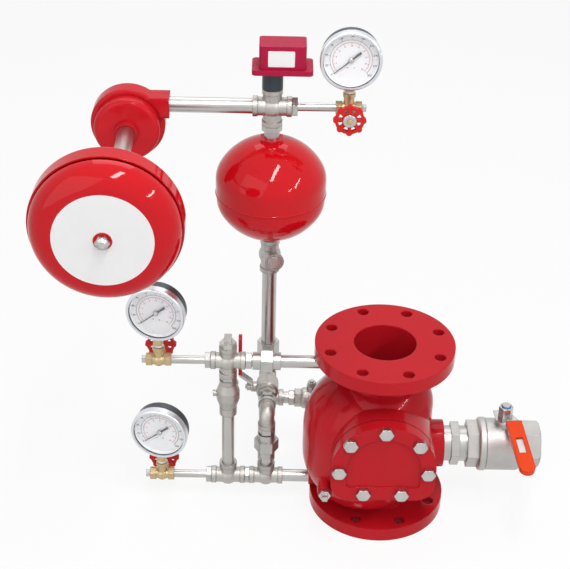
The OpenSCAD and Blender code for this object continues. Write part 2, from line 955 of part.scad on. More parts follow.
// Plastic sleeve with a window over the strap
module drain_sleeve() {
  sleeve_l = (drain_lever_l - drain_crank_end) / cos(drain_slope);
  slot_l = sleeve_l - sleeve_tip;
  color("orangered") drain_lever_frame() drain_slope()
    difference() {
      translate([0, 0, drain_lever_t / 2 - sleeve_t / 2])
        linear_extrude(sleeve_t) {
          translate([-sleeve_w / 2, -sleeve_l + sleeve_w / 2])
            square([sleeve_w, sleeve_l - sleeve_w / 2 - sleeve_start]);
          intersection() {
            translate([0, -sleeve_l + sleeve_w / 2])
              circle(d = sleeve_w, $fn = 64);
            translate([-sleeve_w / 2, -sleeve_l])
              square([sleeve_w, sleeve_w / 2]);
          }
        }
      translate([-drain_lever_w / 2 - sleeve_gap, -slot_l - 2 * sleeve_gap, -sleeve_gap])
        cube([drain_lever_w + 2 * sleeve_gap, sleeve_l, drain_lever_t + 2 * sleeve_gap]);
      translate([-sleeve_window_w / 2, -sleeve_window_at - sleeve_window_l / 2, 0])
        cube([sleeve_window_w, sleeve_window_l, sleeve_t]);
    }
}

// Jam nut and lock nut on the drain stem
module drain_lock_nut() {
  color("lightgray") translate([drain_ball_x, 0, drain_nut_z])
    difference() {
      union() {
        bolt_head(drain_nut_flats, drain_nut_h);
        translate([0, 0, drain_nut_h])
          bolt_head(drain_nut_flats, drain_nut_h);
      }
      rod(drain_stem_d + 2 * thread_gap, -past, 3 * drain_nut_h);
    }
}

// Pipe between two socket faces, screwed in at both ends
module pipe(d, z0, z1) {
  difference() {
    rod(d, z0 - grip + seat_gap, z1 + grip - seat_gap);
    rod(d - 2 * pipe_wall, z0 - grip, z1 + grip);
  }
}

module trim_pipes() {
  color("silver") {
    translate([0, 0, low_z])
      to_left() pipe(pipe_d, low_boss_x, column_x - reach);
    translate([0, 0, high_z])
      to_left() pipe(pipe_d, high_boss_x, -high_union_x - union_l);
    translate([-bypass_x, 0, 0])
      pipe(pipe_d, low_z + reach, check_z);
    translate([-column_x, column_y, 0])
      pipe(column_d, column_bush_z + column_bush_h, retard_tee_z - column_reach);
    translate([0, column_y, cross_z])
      to_left() pipe(column_d, column_x + column_reach, -nozzle_end);
    for (z = [low_z, high_z]) {
      translate([0, 0, z])
        to_left() pipe(small_d, bypass_x + reach + bush_hex, gauge_x - gauge_half);
    }
    translate([0, column_y, cross_z])
      to_left() pipe(small_d, top_gauge_x + gauge_half, column_x - column_reach - bush_hex);
  }
}

// Cast arm of a pipe fitting with its beaded end
module arm(d, length) {
  outer = d + 2 * fitting_wall;
  rod(outer - arm_step, 0, length);
  rod(outer, length - collar_w, length);
}

// Threaded end and waterway of an arm
module arm_bore(d, length) {
  rod(d + 2 * thread_gap, length - grip, length + past);
  rod(d - 2 * pipe_wall, 0, length);
}

// Pipe fitting with an arm along each of the turned axes
module fitting(d, length, turns) {
  difference() {
    union() {
      sphere(d = (d + 2 * fitting_wall) * 1.12, $fn = 64);
      for (t = turns) {
        rotate(t)
          arm(d, length);
      }
    }
    sphere(d = d - 2 * pipe_wall + 1, $fn = 64);
    for (t = turns) {
      rotate(t)
        arm_bore(d, length);
    }
  }
}

// Bend of a round bar from +Y to -Z with a given radius
module bend(d, radius) {
  translate([0, radius, -radius])
    rotate([0, -90, 180])
      rotate_extrude(angle = 90, $fn = 96)
        translate([radius, 0])
          circle(d = d, $fn = 64);
}

// Elbow from +Y to -Z, the end along +Y a socket or a male thread
module elbow(d, length, male) {
  outer = d + 2 * fitting_wall;
  difference() {
    union() {
      bend(outer - arm_step - bend_step, elbow_bend);
      for (t = [back, down]) {
        rotate(t) {
          rod(outer - arm_step, elbow_bend - bend_step, length);
          rod(outer, length - collar_w, length);
        }
      }
      if (male) {
        to_back() rod(d, length - collar_w, length + grip - seat_gap);
      }
    }
    bend(d - 2 * pipe_wall - bend_step, elbow_bend);
    for (t = [back, down]) {
      rotate(t)
        rod(d - 2 * pipe_wall, elbow_bend - bend_step, length + 2 * grip);
    }
    for (t = male ? [down] : [back, down]) {
      rotate(t)
        rod(d + 2 * thread_gap, length - grip, length + past);
    }
  }
}

module trim_fittings() {
  color("darkgray") {
    for (x = [bypass_x, column_x]) {
      translate([-x, 0, low_z])
        fitting(pipe_d, reach, [left, right, up]);
    }
    translate([-bypass_x, 0, high_z])
      fitting(pipe_d, reach, [left, right, up, down]);
    translate([-column_x, 0, test_z])
      elbow(pipe_d, reach, false);
    translate([-column_x, column_y, test_z])
      fitting(pipe_d, reach, [up, down, front]);
    translate([-column_x, column_y, alarm_z])
      fitting(pipe_d, reach, [up, down, right]);
    translate([alarm_elbow_x, column_y, alarm_z])
      rotate([0, -90, 180])
        elbow(pipe_d, reach, true);
    translate([-column_x, column_y, retard_tee_z])
      rotate(retard_tee_turn)
        fitting(column_d, column_reach, [up, down, front]);
    translate([-column_x, column_y, cross_z])
      fitting(column_d, column_reach, [left, right, up, down]);
  }
}

// Hexagon nipple between two socket faces
module nipple(d, z0, z1) {
  difference() {
    union() {
      rod(d, z0 - grip + seat_gap, z1 + grip - seat_gap);
      hex(d + 4, max(z0 + 0.5, z1 - 10.5), z1 - 0.5);
    }
    rod(d - 2 * pipe_wall, z0 - 2 * grip, z1 + 2 * grip);
  }
}

module hex_nipples() {
  color("gainsboro") {
    translate([0, 0, low_z])
      to_left() nipple(pipe_d, column_x + reach, bypass_x - reach);
    translate([0, 0, high_z])
      to_left() nipple(pipe_d, -high_union_x, bypass_x - reach);
    translate([-bypass_x, 0, 0])
      nipple(pipe_d, check_z + check_l, high_z - reach);
    translate([-column_x, 0, 0]) {
      nipple(pipe_d, low_z + reach, low_union_z);
      nipple(pipe_d, low_union_z + union_l, test_z - reach);
    }
    translate([-column_x, 0, test_z])
      to_back() {
        nipple(pipe_d, reach, reach + test_front_hex);
        nipple(pipe_d, test_valve_y + small_valve_l / 2, column_y - reach);
      }
    translate([-column_x, column_y, 0]) {
      nipple(pipe_d, alarm_z + reach, test_z - reach);
      nipple(column_d, retard_tee_z + column_reach, retard_z - retard_h / 2 - retard_boss_low);
      nipple(column_d, retard_z + retard_h / 2 + retard_boss_h - retard_boss_sunk, cross_z - column_reach);
    }
    translate([0, column_y, alarm_z])
      to_right() {
        nipple(pipe_d, -column_x + reach, alarm_valve_x - small_valve_l / 2);
        nipple(pipe_d, alarm_valve_x + small_valve_l / 2, alarm_elbow_x - reach);
      }
  }
}

// Bush that screws into a large socket and takes a pipe of another size, its hexagon above zero
module bush(outer_d, inner_d, height, flats) {
  difference() {
    union() {
      rod(outer_d, -grip + seat_gap, height);
      hex(flats, 0.5, height);
    }
    rod(min(outer_d, inner_d) - 2 * pipe_wall, -2 * grip, height);
    rod(inner_d + 2 * thread_gap, height - grip, height + past);
  }
}

module reducing_bushes() {
  color("gainsboro") {
    for (z = [low_z, high_z]) {
      translate([-bypass_x - reach, 0, z])
        to_left() bush(pipe_d, small_d, bush_hex, bush_flats);
    }
    translate([-column_x + column_reach, column_y, cross_z])
      to_right() bush(column_d, small_d, bush_hex, bush_flats + 3);
    translate([-column_x, column_y, column_bush_z])
      bush(pipe_d, column_d, column_bush_h, column_d + 2 * fitting_wall);
  }
}

// Pipe union from zero upwards: inlet half, outlet half and the nut over both
module union_coupling() {
  for (part = [0, 1]) {
    z0 = part == 0 ? 0 : union_split + 0.2;
    z1 = part == 0 ? union_split : union_l;
    difference() {
      rod(union_d, z0, z1);
      rod(pipe_d - 2 * pipe_wall, -past, union_l + past);
      rod(pipe_d + 2 * thread_gap, -past, grip);
      rod(pipe_d + 2 * thread_gap, union_l - grip, union_l + past);
    }
  }
  difference() {
    hex(union_nut_flats, union_split - union_nut_l / 2, union_split + union_nut_l / 2);
    rod(union_d + 2 * thread_gap, 0, union_l);
  }
}

module unions() {
  color("lightgray") {
    translate([high_union_x, 0, high_z])
      to_right() union_coupling();
    translate([-column_x, 0, low_union_z])
      union_coupling();
  }
}

// Swing check valve with its bonnet at the back and the boss of the hinge pin at the left
module check_valve_body() {
  color("darkgray") translate([-bypass_x, 0, check_z])
    difference() {
      union() {
        lathe() {
          square([check_collar_d / 2, check_collar_h]);
          polygon([[0, check_collar_h - 1], [check_collar_d / 2 - 1, check_collar_h - 1],
            [check_d / 2, check_wide_low], [check_d / 2, check_wide_high],
            [check_collar_d / 2 - 1, check_top], [0, check_top]]);
          translate([0, check_top - 1])
            square([check_collar_d / 2, check_l - check_top + 1]);
        }
        translate([0, 0, check_pin_at])
          to_back() rod(check_bonnet_d, 0, check_bonnet_y);
        translate([0, 0, check_plug_z])
          to_left() rod(11, 0, check_d / 2 + 6);
      }
      rod(pipe_d + 2 * thread_gap, -past, grip);
      rod(pipe_d - 2 * pipe_wall, 0, check_l);
      rod(check_chamber_d, check_seat, check_roof);
      rod(pipe_d + 2 * thread_gap, check_l - grip, check_l + past);
      translate([0, 0, check_pin_at])
        to_back() rod(check_pocket_d + 2 * thread_gap, 0, check_bonnet_y + past);
    }
  color("darkgray") translate([-bypass_x, check_pin_y, check_z + check_pin_at])
    to_right() rod(check_pin_d, -check_pocket_d / 2 - 0.5, check_pocket_d / 2 + 0.5);
}

module check_disc() {
  color("darkgoldenrod") translate([-bypass_x, 0, check_z])
    difference() {
      union() {
        rod(check_disc_d, check_seat + face_gap, check_seat + face_gap + check_disc_t);
        translate([-4, 0, check_seat + face_gap])
          cube([8, check_pin_y, check_disc_t + 2]);
        translate([0, check_pin_y, check_pin_at])
          to_right() rod(check_pin_d + 5, -4, 4);
      }
      translate([0, check_pin_y, check_pin_at])
        to_right() rod(check_pin_d + 2 * run_gap, -check_d, check_d);
    }
}

// Small ball valve: waterway along Z, stem along +X
module small_valve() {
  half = small_valve_l / 2;
  difference() {
    union() {
      for (s = [-1, 1]) {
        translate([0, 0, s * (half - small_hex_l / 2)])
          rotate(30)
            hex(small_flats, -small_hex_l / 2, small_hex_l / 2);
      }
      lathe() {
        translate([0, -half + small_hex_l - 2])
          barrel_section(small_body_d / 2, 0, small_valve_l - 2 * small_hex_l + 4, 6, 6);
      }
      to_right() rod(small_stem_d + 10, 0, small_stem_boss);
    }
    for (t = [up, down]) {
      rotate(t)
        arm_bore(pipe_d, half);
    }
    sphere(d = small_ball_d + 2 * face_gap, $fn = 64);
    to_right() rod(small_stem_d + 2 * run_gap, 0, small_stem_boss + past);
  }
}

// Frames of the small ball valves: waterway along Z, stem along +X
module test_frame() {
  translate([-column_x, test_valve_y, test_z])
    rotate([0, 0, 180])
      rotate([90, 0, 0])
        children();
}

module alarm_frame() {
  translate([alarm_valve_x, column_y, alarm_z])
    rotate([0, -90, 0])
      children();
}

module small_valve_bodies() {
  color("darkgray") {
    test_frame() small_valve();
    alarm_frame() small_valve();
  }
}

// Ball with its stem and the nut on the stem, the way through it turned about the stem
module small_ball(turn) {
  nut_x = small_lever_x + small_lever_t;
  rotate([turn, 0, 0])
    difference() {
      union() {
        sphere(d = small_ball_d, $fn = 64);
        to_right() {
          rod(small_stem_d, 0, nut_x + small_nut_h + 3);
          hex(small_nut_flats, nut_x + 0.1, nut_x + small_nut_h);
        }
      }
      rod(small_ball_bore, -small_ball_d, small_ball_d);
    }
}

// Cranked lever of a small ball valve lying along +Y, its plate across the stem
module small_lever() {
  difference() {
    union() {
      translate([small_lever_x, 0, 0]) {
        to_right() rod(18, 0, small_lever_t);
        translate([0, 0, -small_lever_w / 2])
          cube([small_lever_t, small_crank_start, small_lever_w]);
        translate([0, 0, -small_lever_w / 2])
          linear_extrude(small_lever_w)
            polygon([[0, small_crank_start - 1], [small_lever_t, small_crank_start - 1],
              [small_crank + small_lever_t, small_crank_end - 1],
              [small_crank + small_lever_t, small_crank_end + 2],
              [small_crank, small_crank_end + 2], [0, small_crank_start + 2]]);
        translate([small_crank, small_crank_end + 1, -small_lever_w / 2])
          cube([small_lever_t, small_lever_l - small_crank_end - 4, small_lever_w]);
      }
    }
    to_right() rod(small_stem_d + 2 * thread_gap, 0, small_lever_x + small_crank);
  }
}

// Plastic sleeve of a small lever
module small_sleeve() {
  middle = small_lever_x + small_crank + small_lever_t / 2;
  translate([middle - small_sleeve_t / 2, 0, 0])
    difference() {
      to_right() linear_extrude(small_sleeve_t)
        union() {
          translate([-small_sleeve_w / 2, small_crank_end + 3])
            square([small_sleeve_w, small_lever_l - small_crank_end - 3 - small_sleeve_w / 2]);
          intersection() {
            translate([0, small_lever_l - small_sleeve_w / 2])
              circle(d = small_sleeve_w, $fn = 64);
            translate([-small_sleeve_w / 2, small_lever_l - small_sleeve_w / 2])
              square([small_sleeve_w, small_sleeve_w / 2]);
          }
        }
      translate([small_sleeve_t / 2 - small_lever_t / 2 - sleeve_gap, small_crank_end,
        -small_lever_w / 2 - sleeve_gap])
        cube([small_lever_t + 2 * sleeve_gap, small_lever_l - small_crank_end - 3 + sleeve_gap,
          small_lever_w + 2 * sleeve_gap]);
    }
}

module test_ball() {
  color("silver") test_frame() small_ball(90);
}

module test_lever() {
  color("lightgray") test_frame() small_lever();
}

module test_sleeve() {
  color("crimson") test_frame() small_sleeve();
}

module alarm_ball() {
  color("silver") alarm_frame() small_ball(0);
}

module alarm_lever() {
  color("lightgray") alarm_frame() rotate([-90, 0, 0])
    small_lever();
}

module alarm_sleeve() {
  color("crimson") alarm_frame() rotate([-90, 0, 0])
    small_sleeve();
}

// Automatic drip valve under the alarm column
module drip_valve() {
  top = alarm_z - reach;
  color("goldenrod") translate([-column_x, column_y, 0])
    difference() {
      union() {
        rod(pipe_d, top - 14, top + grip - seat_gap);
        hex(pipe_d + 4, top - 12, top - 0.5);
        rod(pipe_d - 3, top - 28, top - 12);
        hex(pipe_d, top - 34, top - 20);
        rod(pipe_d - 5, top - 40, top - 30);
      }
      rod(pipe_d / 2, top - 41, top + 2 * grip);
    }
}

// Half section of the retard chamber above its centre, drawn in by a wall
module retard_dome(inset) {
  r = retard_r - inset;
  k = retard_knuckle - inset;
  a = retard_r - retard_knuckle;
  h = retard_rise - inset;
  crown = (a * a + h * h - k * k) / (2 * (h - k));
  touch = a * crown / (crown - k);
  intersection() {
    translate([0, retard_straight + h - crown])
      circle(crown, $fn = 128);
    translate([0, retard_straight])
      square([touch, h]);
  }
  intersection() {
    translate([a, retard_straight])
      circle(k, $fn = 96);
    translate([0, retard_straight])
      square([r, h]);
  }
  translate([0, retard_seam - retard_h])
    square([r, retard_h + retard_straight - retard_seam]);
}

// Upper dished half, lapped over the lower one, with its hexagon boss
module retard_upper() {
  top = retard_h / 2;
  color("red") translate([-column_x, column_y, retard_z])
    difference() {
      union() {
        lathe() intersection() {
          retard_dome(0);
          translate([0, retard_seam])
            square([retard_r, retard_h]);
        }
        rotate(30)
          hex(retard_flats, top - retard_boss_sunk, top + retard_boss_h - retard_boss_sunk);
      }
      lathe() intersection() {
        retard_dome(retard_wall);
        translate([0, retard_seam - past])
          square([retard_r, retard_h]);
      }
      rod(column_d + 2 * thread_gap, top - retard_boss_sunk - grip, top + retard_boss_h);
    }
}

// Lower dished half with the weld bead round the seam and the boss below
module retard_lower() {
  top = retard_h / 2;
  color("red") translate([-column_x, column_y, retard_z])
    difference() {
      union() {
        mirror([0, 0, 1])
          lathe() intersection() {
            retard_dome(retard_lap);
            translate([0, -retard_seam + 0.1])
              square([retard_r, retard_h]);
          }
        rod(column_d + 12, -top - retard_boss_low, -top + grip);
      }
      mirror([0, 0, 1])
        lathe() difference() {
          intersection() {
            retard_dome(retard_wall + retard_lap);
            translate([0, -retard_seam - past])
              square([retard_r, retard_h]);
          }
          translate([0, top - grip])
            square([column_d / 2 + 6, grip]);
        }
      rod(column_d + 2 * thread_gap, -top - retard_boss_low - past, -top + grip + past);
    }
}

// Collar nut under the switch with the thread that screws into the cross
module switch_collar() {
  color("darkslategray") translate([-column_x, column_y, switch_collar_z])
    difference() {
      union() {
        rod(column_d, -grip + seat_gap, past);
        rod(switch_collar_d, 0.5, switch_collar_h);
        rod(switch_collar_d - 6, 0, 1);
      }
      rod(plunger_d + 2 * run_gap, -2 * grip, switch_collar_h + past);
    }
}

// Box with rounded upright edges, centred over the switch
module switch_box(w, d, z0, z1, rounding) {
  translate([-column_x + switch_shift, column_y, z0])
    linear_extrude(z1 - z0) {
      square([w - 2 * rounding, d], center = true);
      square([w, d - 2 * rounding], center = true);
      for (sx = [-1, 1], sy = [-1, 1]) {
        translate([sx * (w / 2 - rounding), sy * (d / 2 - rounding)])
          circle(rounding, $fn = 48);
      }
    }
}

module switch_base() {
  color("crimson") difference() {
    switch_box(switch_w + 2 * switch_flange, switch_depth + 2 * switch_flange_y, switch_base_z,
      switch_base_z + switch_base_t, switch_round + 2);
    translate([-column_x, column_y, 0])
      rod(plunger_d + 1, switch_base_z - past, switch_base_z + switch_base_t + past);
  }
}

module switch_cover() {
  z0 = switch_base_z + switch_base_t;
  color("crimson") difference() {
    switch_box(switch_w, switch_depth, z0, z0 + switch_h, switch_round);
    switch_box(switch_w - 2 * switch_wall, switch_depth - 2 * switch_wall, z0 - past,
      z0 + switch_h - switch_wall, switch_round - switch_wall);
  }
}

module switch_plunger() {
  z0 = switch_base_z - plunger_l + switch_base_t;
  color("silver") translate([-column_x, column_y, 0])
    rod(plunger_d, z0, z0 + plunger_l);
}

// Frames of the three gauge valves: line along X, gauge up, spindle along +Y
gauge_upper = 0;
gauge_lower = 1;
gauge_top_place = 2;
module gauge_valve_frame(i) {
  place = i == gauge_upper ? [-gauge_x, 0, high_z]
    : i == gauge_lower ? [-gauge_x, 0, low_z]
    : [-top_gauge_x, column_y, cross_z];
  translate(place)
    rotate(i == gauge_top_place ? 180 : 0)
      children();
}

// Three-way valve body in brass, outlet plug on the outer end
module gauge_valve() {
  difference() {
    union() {
      to_right() {
        rod(gauge_body_d, -gauge_half, gauge_half);
        hex(gauge_flats, -gauge_half, -gauge_half + gauge_hex_l);
        hex(gauge_flats, gauge_half - gauge_hex_l, gauge_half);
      }
      sphere(d = gauge_body_d + 5, $fn = 64);
      rod(gauge_top_d - 2, 0, gauge_top);
      rod(gauge_top_d + 1, gauge_top - 6, gauge_top);
      to_back() {
        rod(gauge_bonnet_d, 0, gauge_bonnet);
        hex(gauge_bonnet_d + 1, gauge_bonnet - 9, gauge_bonnet - 1);
      }
    }
    to_right() {
      rod(small_d - 2 * pipe_wall, 0, gauge_half);
      rod(small_d + 2 * thread_gap, gauge_half - grip, gauge_half + past);
      rod(small_d / 2, -gauge_half - past, 0);
    }
    rod(small_d / 2, 0, gauge_top);
    rod(gauge_stem_d + 2 * thread_gap, gauge_top - grip, gauge_top + past);
    to_back() rod(spindle_d + 2 * run_gap, 0, gauge_bonnet + past);
  }
}

// Square headed plug in the outer end of a gauge valve
module gauge_plug() {
  translate([-gauge_half, 0, 0])
    to_left() {
      rod(small_d / 2 - 2 * thread_gap, -8, 0.5);
      square_bar(gauge_plug_flats, 0, gauge_plug_l);
    }
}

module gauge_valves() {
  color("goldenrod") for (i = [gauge_upper, gauge_lower, gauge_top_place]) {
    gauge_valve_frame(i) {
      gauge_valve();
      gauge_plug();
    }
  }
}

// Frames of the three gauges: face along +Z, up along +Y, the stem axis behind the dial
module gauge_frame(i) {
  place = i == gauge_upper ? [-gauge_x, 0, high_z + gauge_rise]
    : i == gauge_lower ? [-gauge_x, 0, low_z + gauge_rise]
    : [-top_gauge_x, column_y, cross_z + top_gauge_rise];
  translate(place)
    rotate(i == gauge_top_place ? 0 : -gauge_turn)
      to_front() translate([0, 0, gauge_forward])
        children();
}

// Copies of a piece at the three gauges
module at_gauges() {
  for (i = [gauge_upper, gauge_lower, gauge_top_place]) {
    gauge_frame(i)
      children();
  }
}

// Brass socket from the case down into the valve
module gauge_stem(rise) {
  low = -rise + gauge_top;
  case_low = -case_d / 2 + 1.2;
  translate([0, 0, -gauge_forward])
    rotate([-90, 0, 0]) {
      rod(gauge_stem_d, low - grip + seat_gap, case_low);
      square_bar(gauge_stem_flats, low + 5, case_low);
    }
}

module gauge_stems() {
  color("darkkhaki") for (i = [gauge_upper, gauge_lower, gauge_top_place]) {
    gauge_frame(i)
      difference() {
        gauge_stem(i == gauge_top_place ? top_gauge_rise : gauge_rise);
        translate([0, 0, -gauge_depth])
          rod(case_d + 2 * thread_gap, 0, 2 * gauge_depth);
      rod(gauge_d + 2 * thread_gap, bezel_start - thread_gap, gauge_depth);
      }
  }
}

module gauge_cases() {
  back_z = case_front + lens_gap - gauge_depth;
  color("dimgray") at_gauges() difference() {
    lathe() {
      translate([0, back_z])
        barrel_section(case_d / 2, 0, lens_gap - back_z, 5, 0.5);
    }
    rod(case_d - 2 * case_wall, -dial_t, lens_gap + past);
    rod(case_d - 4 * case_wall, back_z + case_wall, 0);
  }
}

module gauge_bezels() {
  color("lightgray") at_gauges() difference() {
    lathe() {
      translate([0, bezel_start])
        barrel_section(gauge_d / 2, 0, lens_gap + lens_t + 2 - bezel_start, 1, 2.5);
    }
    rod(case_d + 2 * thread_gap, bezel_start - past, lens_gap + lens_t + thread_gap);
    rod(gauge_d - 2 * bezel_w, 0, lens_gap + lens_t + 3);
  }
}

module gauge_dials() {
  color("white") at_gauges() difference() {
    rod(dial_d, -dial_t, 0);
    rod(pointer_shaft_d + 2 * run_gap, -2 * dial_t, past);
  }
}

module gauge_lenses() {
  color("azure") at_gauges() rod(case_d - 0.4, lens_gap + thread_gap, lens_gap + lens_t);
}

// Pointer raised above the dial, with its hub and shaft
module pointer_piece(i) {
  color("black") gauge_frame(i) {
    translate([0, 0, pointer_z])
      rotate(pointer_zero)
        linear_extrude(pointer_t)
          polygon([[-pointer_w / 2, 0], [-0.4, pointer_l], [0.4, pointer_l], [pointer_w / 2, 0],
            [pointer_w, -pointer_tail], [-pointer_w, -pointer_tail]]);
    rod(8, pointer_z - 0.5, pointer_z + pointer_t + 0.6);
    rod(pointer_shaft_d, -dial_t - 4, pointer_z);
  }
}

module pointer_upper() pointer_piece(gauge_upper);
module pointer_lower() pointer_piece(gauge_lower);
module pointer_top() pointer_piece(gauge_top_place);

// Valve spindle with a conical tip and a reduced end for the handwheel
module spindle(i) {
  color("silver") gauge_valve_frame(i)
    to_back() {
      translate([0, 0, spindle_tip])
        cylinder(h = 4, d1 = 3, d2 = spindle_d, $fn = 48);
      rod(spindle_d, spindle_tip + 4, wheel_at - wheel_hub_t / 2);
      rod(spindle_end_d, wheel_at - wheel_hub_t, wheel_at + wheel_hub_t / 2 + 1);
    }
}

module spindle_upper() spindle(gauge_upper);
module spindle_lower() spindle(gauge_lower);
module spindle_top() spindle(gauge_top_place);

// Lobed handwheel with eight windows between its spokes
module handwheel(i) {
  spokes = 8;
  rim_r = wheel_d / 2 - 3;
  lobe_r = 5;
  window_out = rim_r - 4.5;
  window_in = wheel_d / 4 - 1;
  color("red") gauge_valve_frame(i)
    translate([0, wheel_at, 0])
      to_back() difference() {
        union() {
          translate([0, 0, -wheel_t / 2])
            linear_extrude(wheel_t)
              difference() {
                union() {
                  circle(rim_r, $fn = 96);
                  for (k = [0:spokes - 1]) {
                    rotate(k * 360 / spokes)
                      translate([wheel_d / 2 - lobe_r, 0])
                        circle(lobe_r, $fn = 32);
                  }
                }
                difference() {
                  circle(window_out, $fn = 96);
                  circle(window_in, $fn = 96);
                  for (k = [0:spokes / 2 - 1]) {
                    rotate(k * 360 / spokes)
                      square([wheel_d, 5.5], center = true);
                  }
                }
              }
          rod(wheel_hub_d, -wheel_hub_t / 2 + face_gap, wheel_hub_t / 2);
        }
        rod(spindle_end_d + 2 * run_gap, -wheel_hub_t, wheel_hub_t);
      }
}

module handwheel_upper() handwheel(gauge_upper);
module handwheel_lower() handwheel(gauge_lower);
module handwheel_top() handwheel(gauge_top_place);

// Frame of the water motor and gong: axis along +Z from the wheel to the gong
module motor_frame() {
  translate([-motor_x, column_y, motor_z])
    to_front() children();
}

// Rear housing with the nozzle block and the drain outlet
module motor_housing() {
  block_x = motor_x + nozzle_end;
  color("firebrick") motor_frame() difference() {
    union() {
      lathe() {
        translate([0, motor_back])
          barrel_section(motor_d / 2, 0, motor_split - motor_back, 8, 4);
      }
      translate([0, motor_drop - nozzle_h / 2, -nozzle_w / 2])
        cube([block_x, nozzle_h, nozzle_w]);
      rotate([90, 0, 0])
        rod(motor_drain_d, motor_chamber_d / 2 - 2, motor_d / 2 + motor_drain_l);
    }
    rod(motor_chamber_d, -motor_chamber_z, motor_split + past);
    rod(motor_cover_d + 2 * face_gap, motor_split, motor_front);
    translate([0, motor_drop, 0])
      to_right() {
        rod(column_d + 2 * thread_gap, block_x - nozzle_grip, block_x + past);
        rod(jet_d, 0, block_x);
      }
    rotate([90, 0, 0]) {
      rod(motor_drain_bore, motor_d / 2, motor_d / 2 + motor_drain_l + past);
      rod(motor_drain_bore - 6, 0, motor_d / 2 + motor_drain_l);
    }
    rod(stud_d + 2 * thread_gap, motor_back - past, motor_split);
  }
}

// Front cover with the boss that carries the shaft
module motor_cover() {
  color("firebrick") motor_frame() difference() {
    union() {
      lathe() {
        translate([0, motor_split])
          barrel_section(motor_cover_d / 2, 0, motor_front - motor_split, 2, motor_round);
      }
      rod(motor_boss_d, motor_split, motor_front + motor_boss_h);
      rod(motor_chamber_d - 2 * thread_gap, motor_split - 2, motor_split + past);
    }
    rod(shaft_d + 2 * run_gap, 0, motor_front + 2 * motor_boss_h);
    rod(tube_d + 2 * thread_gap, tube_start - seat_gap, motor_front + motor_boss_h + past);
  }
}

// Bucket wheel on the hollow drive shaft
module motor_runner() {
  bucket_r = runner_d / 2;
  color("goldenrod") motor_frame() difference() {
    union() {
      rod(runner_d, -runner_t / 2, runner_t / 2);
      rod(shaft_d + 10, -motor_chamber_z + 1, runner_t / 2 + face_gap);
      rod(shaft_d, -motor_chamber_z + 1, striker_z + 9);
    }
    for (k = [0:bucket_count - 1]) {
      rotate(k * 360 / bucket_count)
        translate([bucket_r, 0, -runner_t / 2 + 3])
          rod(bucket_depth * 1.3, 0, runner_t - 6);
    }
    rod(shaft_bore, -2 * motor_chamber_z, gong_face);
  }
}

// Striker arm with its hammer, clamped on the end of the shaft
module striker() {
  color("darkgray") motor_frame() translate([0, 0, striker_z])
    difference() {
      union() {
        rod(shaft_d + 10, -1, 7);
        translate([0, -5, 0])
          cube([striker_r, 10, 5]);
        translate([striker_r, 0, 0])
          rod(hammer_d, -2, 8);
      }
      rod(shaft_d + 2 * thread_gap, -2 * past, 9);
    }
}

module shaft_tube() {
  color("silver") motor_frame() difference() {
    rod(tube_d, tube_start, tube_end);
    rod(shaft_d + 4, 0, gong_face);
  }
}

// Pressed back plate with its rim and the hub on the tube
module gong_plate() {
  color("firebrick") motor_frame() difference() {
    union() {
      lathe() {
        translate([0, plate_back])
          barrel_section(gong_d / 2, 0, plate_rim, 6, 0.5);
      }
      rod(plate_hub_d, plate_back - plate_hub_h, plate_back + plate_t + 6);
    }
    difference() {
      rod(gong_d - 2 * plate_t, plate_back + plate_t, plate_front + past);
      rod(plate_hub_d, plate_back, plate_back + plate_t + 6);
    }
    rod(tube_d + 2 * thread_gap, plate_back - plate_hub_h - past, tube_end + seat_gap);
    rod(shaft_d + 2 * run_gap, plate_back - plate_hub_h, plate_front);
  }
}

// Fixed stud through the hollow shaft that holds the dome, with its collar and cap nut
module gong_stud() {
  color("lightgray") motor_frame() {
    rod(stud_d, motor_back + 2, gong_face + stud_nut_h);
    rod(stud_collar_d, gong_face - gong_wall - 6, gong_face - gong_wall);
    hex(stud_nut_flats, gong_face + 0.05, gong_face + stud_nut_h - 2);
    translate([0, 0, gong_face + stud_nut_h - 2])
      cylinder(h = 4, d1 = stud_nut_flats - 2, d2 = stud_nut_flats - 9, $fn = 48);
  }
}

// Section of the gong dome, drawn in by a wall
module dome_section(inset) {
  r = dome_d / 2 - inset;
  depth = gong_depth - inset;
  square([r - depth, depth]);
  intersection() {
    translate([r - depth, 0])
      circle(depth, $fn = 96);
    square([r, depth]);
  }
}

module gong_dome() {
  color("red") motor_frame() translate([0, 0, dome_back])
    difference() {
      lathe() dome_section(0);
      translate([0, 0, -past])
        lathe() {
          translate([0, past])
            dome_section(gong_wall);
          square([dome_d / 2 - gong_wall, past]);
        }
      rod(stud_d + 2 * thread_gap, -past, gong_depth + past);
    }
}

valve_body();
seat_ring();
clapper();
clapper_facing();
hinge_pin();
hatch_cover();
hatch_gasket();
hatch_bolts();
pipe_plugs();
drain_nipple();
drain_valve_body();
drain_valve_end();
drain_ball();
drain_lever();
drain_sleeve();
drain_lock_nut();
trim_pipes();
trim_fittings();
hex_nipples();
reducing_bushes();
unions();
check_valve_body();
check_disc();
small_valve_bodies();
test_ball();
test_lever();
test_sleeve();
alarm_ball();
alarm_lever();
alarm_sleeve();
drip_valve();
retard_lower();
retard_upper();
switch_collar();
switch_base();
switch_cover();
switch_plunger();
gauge_valves();
gauge_stems();
gauge_cases();
gauge_bezels();
gauge_dials();
gauge_lenses();
pointer_upper();
pointer_lower();
pointer_top();
spindle_upper();
spindle_lower();
spindle_top();
handwheel_upper();
handwheel_lower();
handwheel_top();
motor_housing();
motor_cover();
motor_runner();
striker();
shaft_tube();
gong_plate();
gong_stud();
gong_dome();
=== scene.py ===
"""Looks of a wet sprinkler alarm valve with its trim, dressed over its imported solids."""

import json
import math

import bmesh
import bpy
from bpy.props import FloatProperty, FloatVectorProperty, IntProperty, PointerProperty
from mathutils import Matrix, Vector


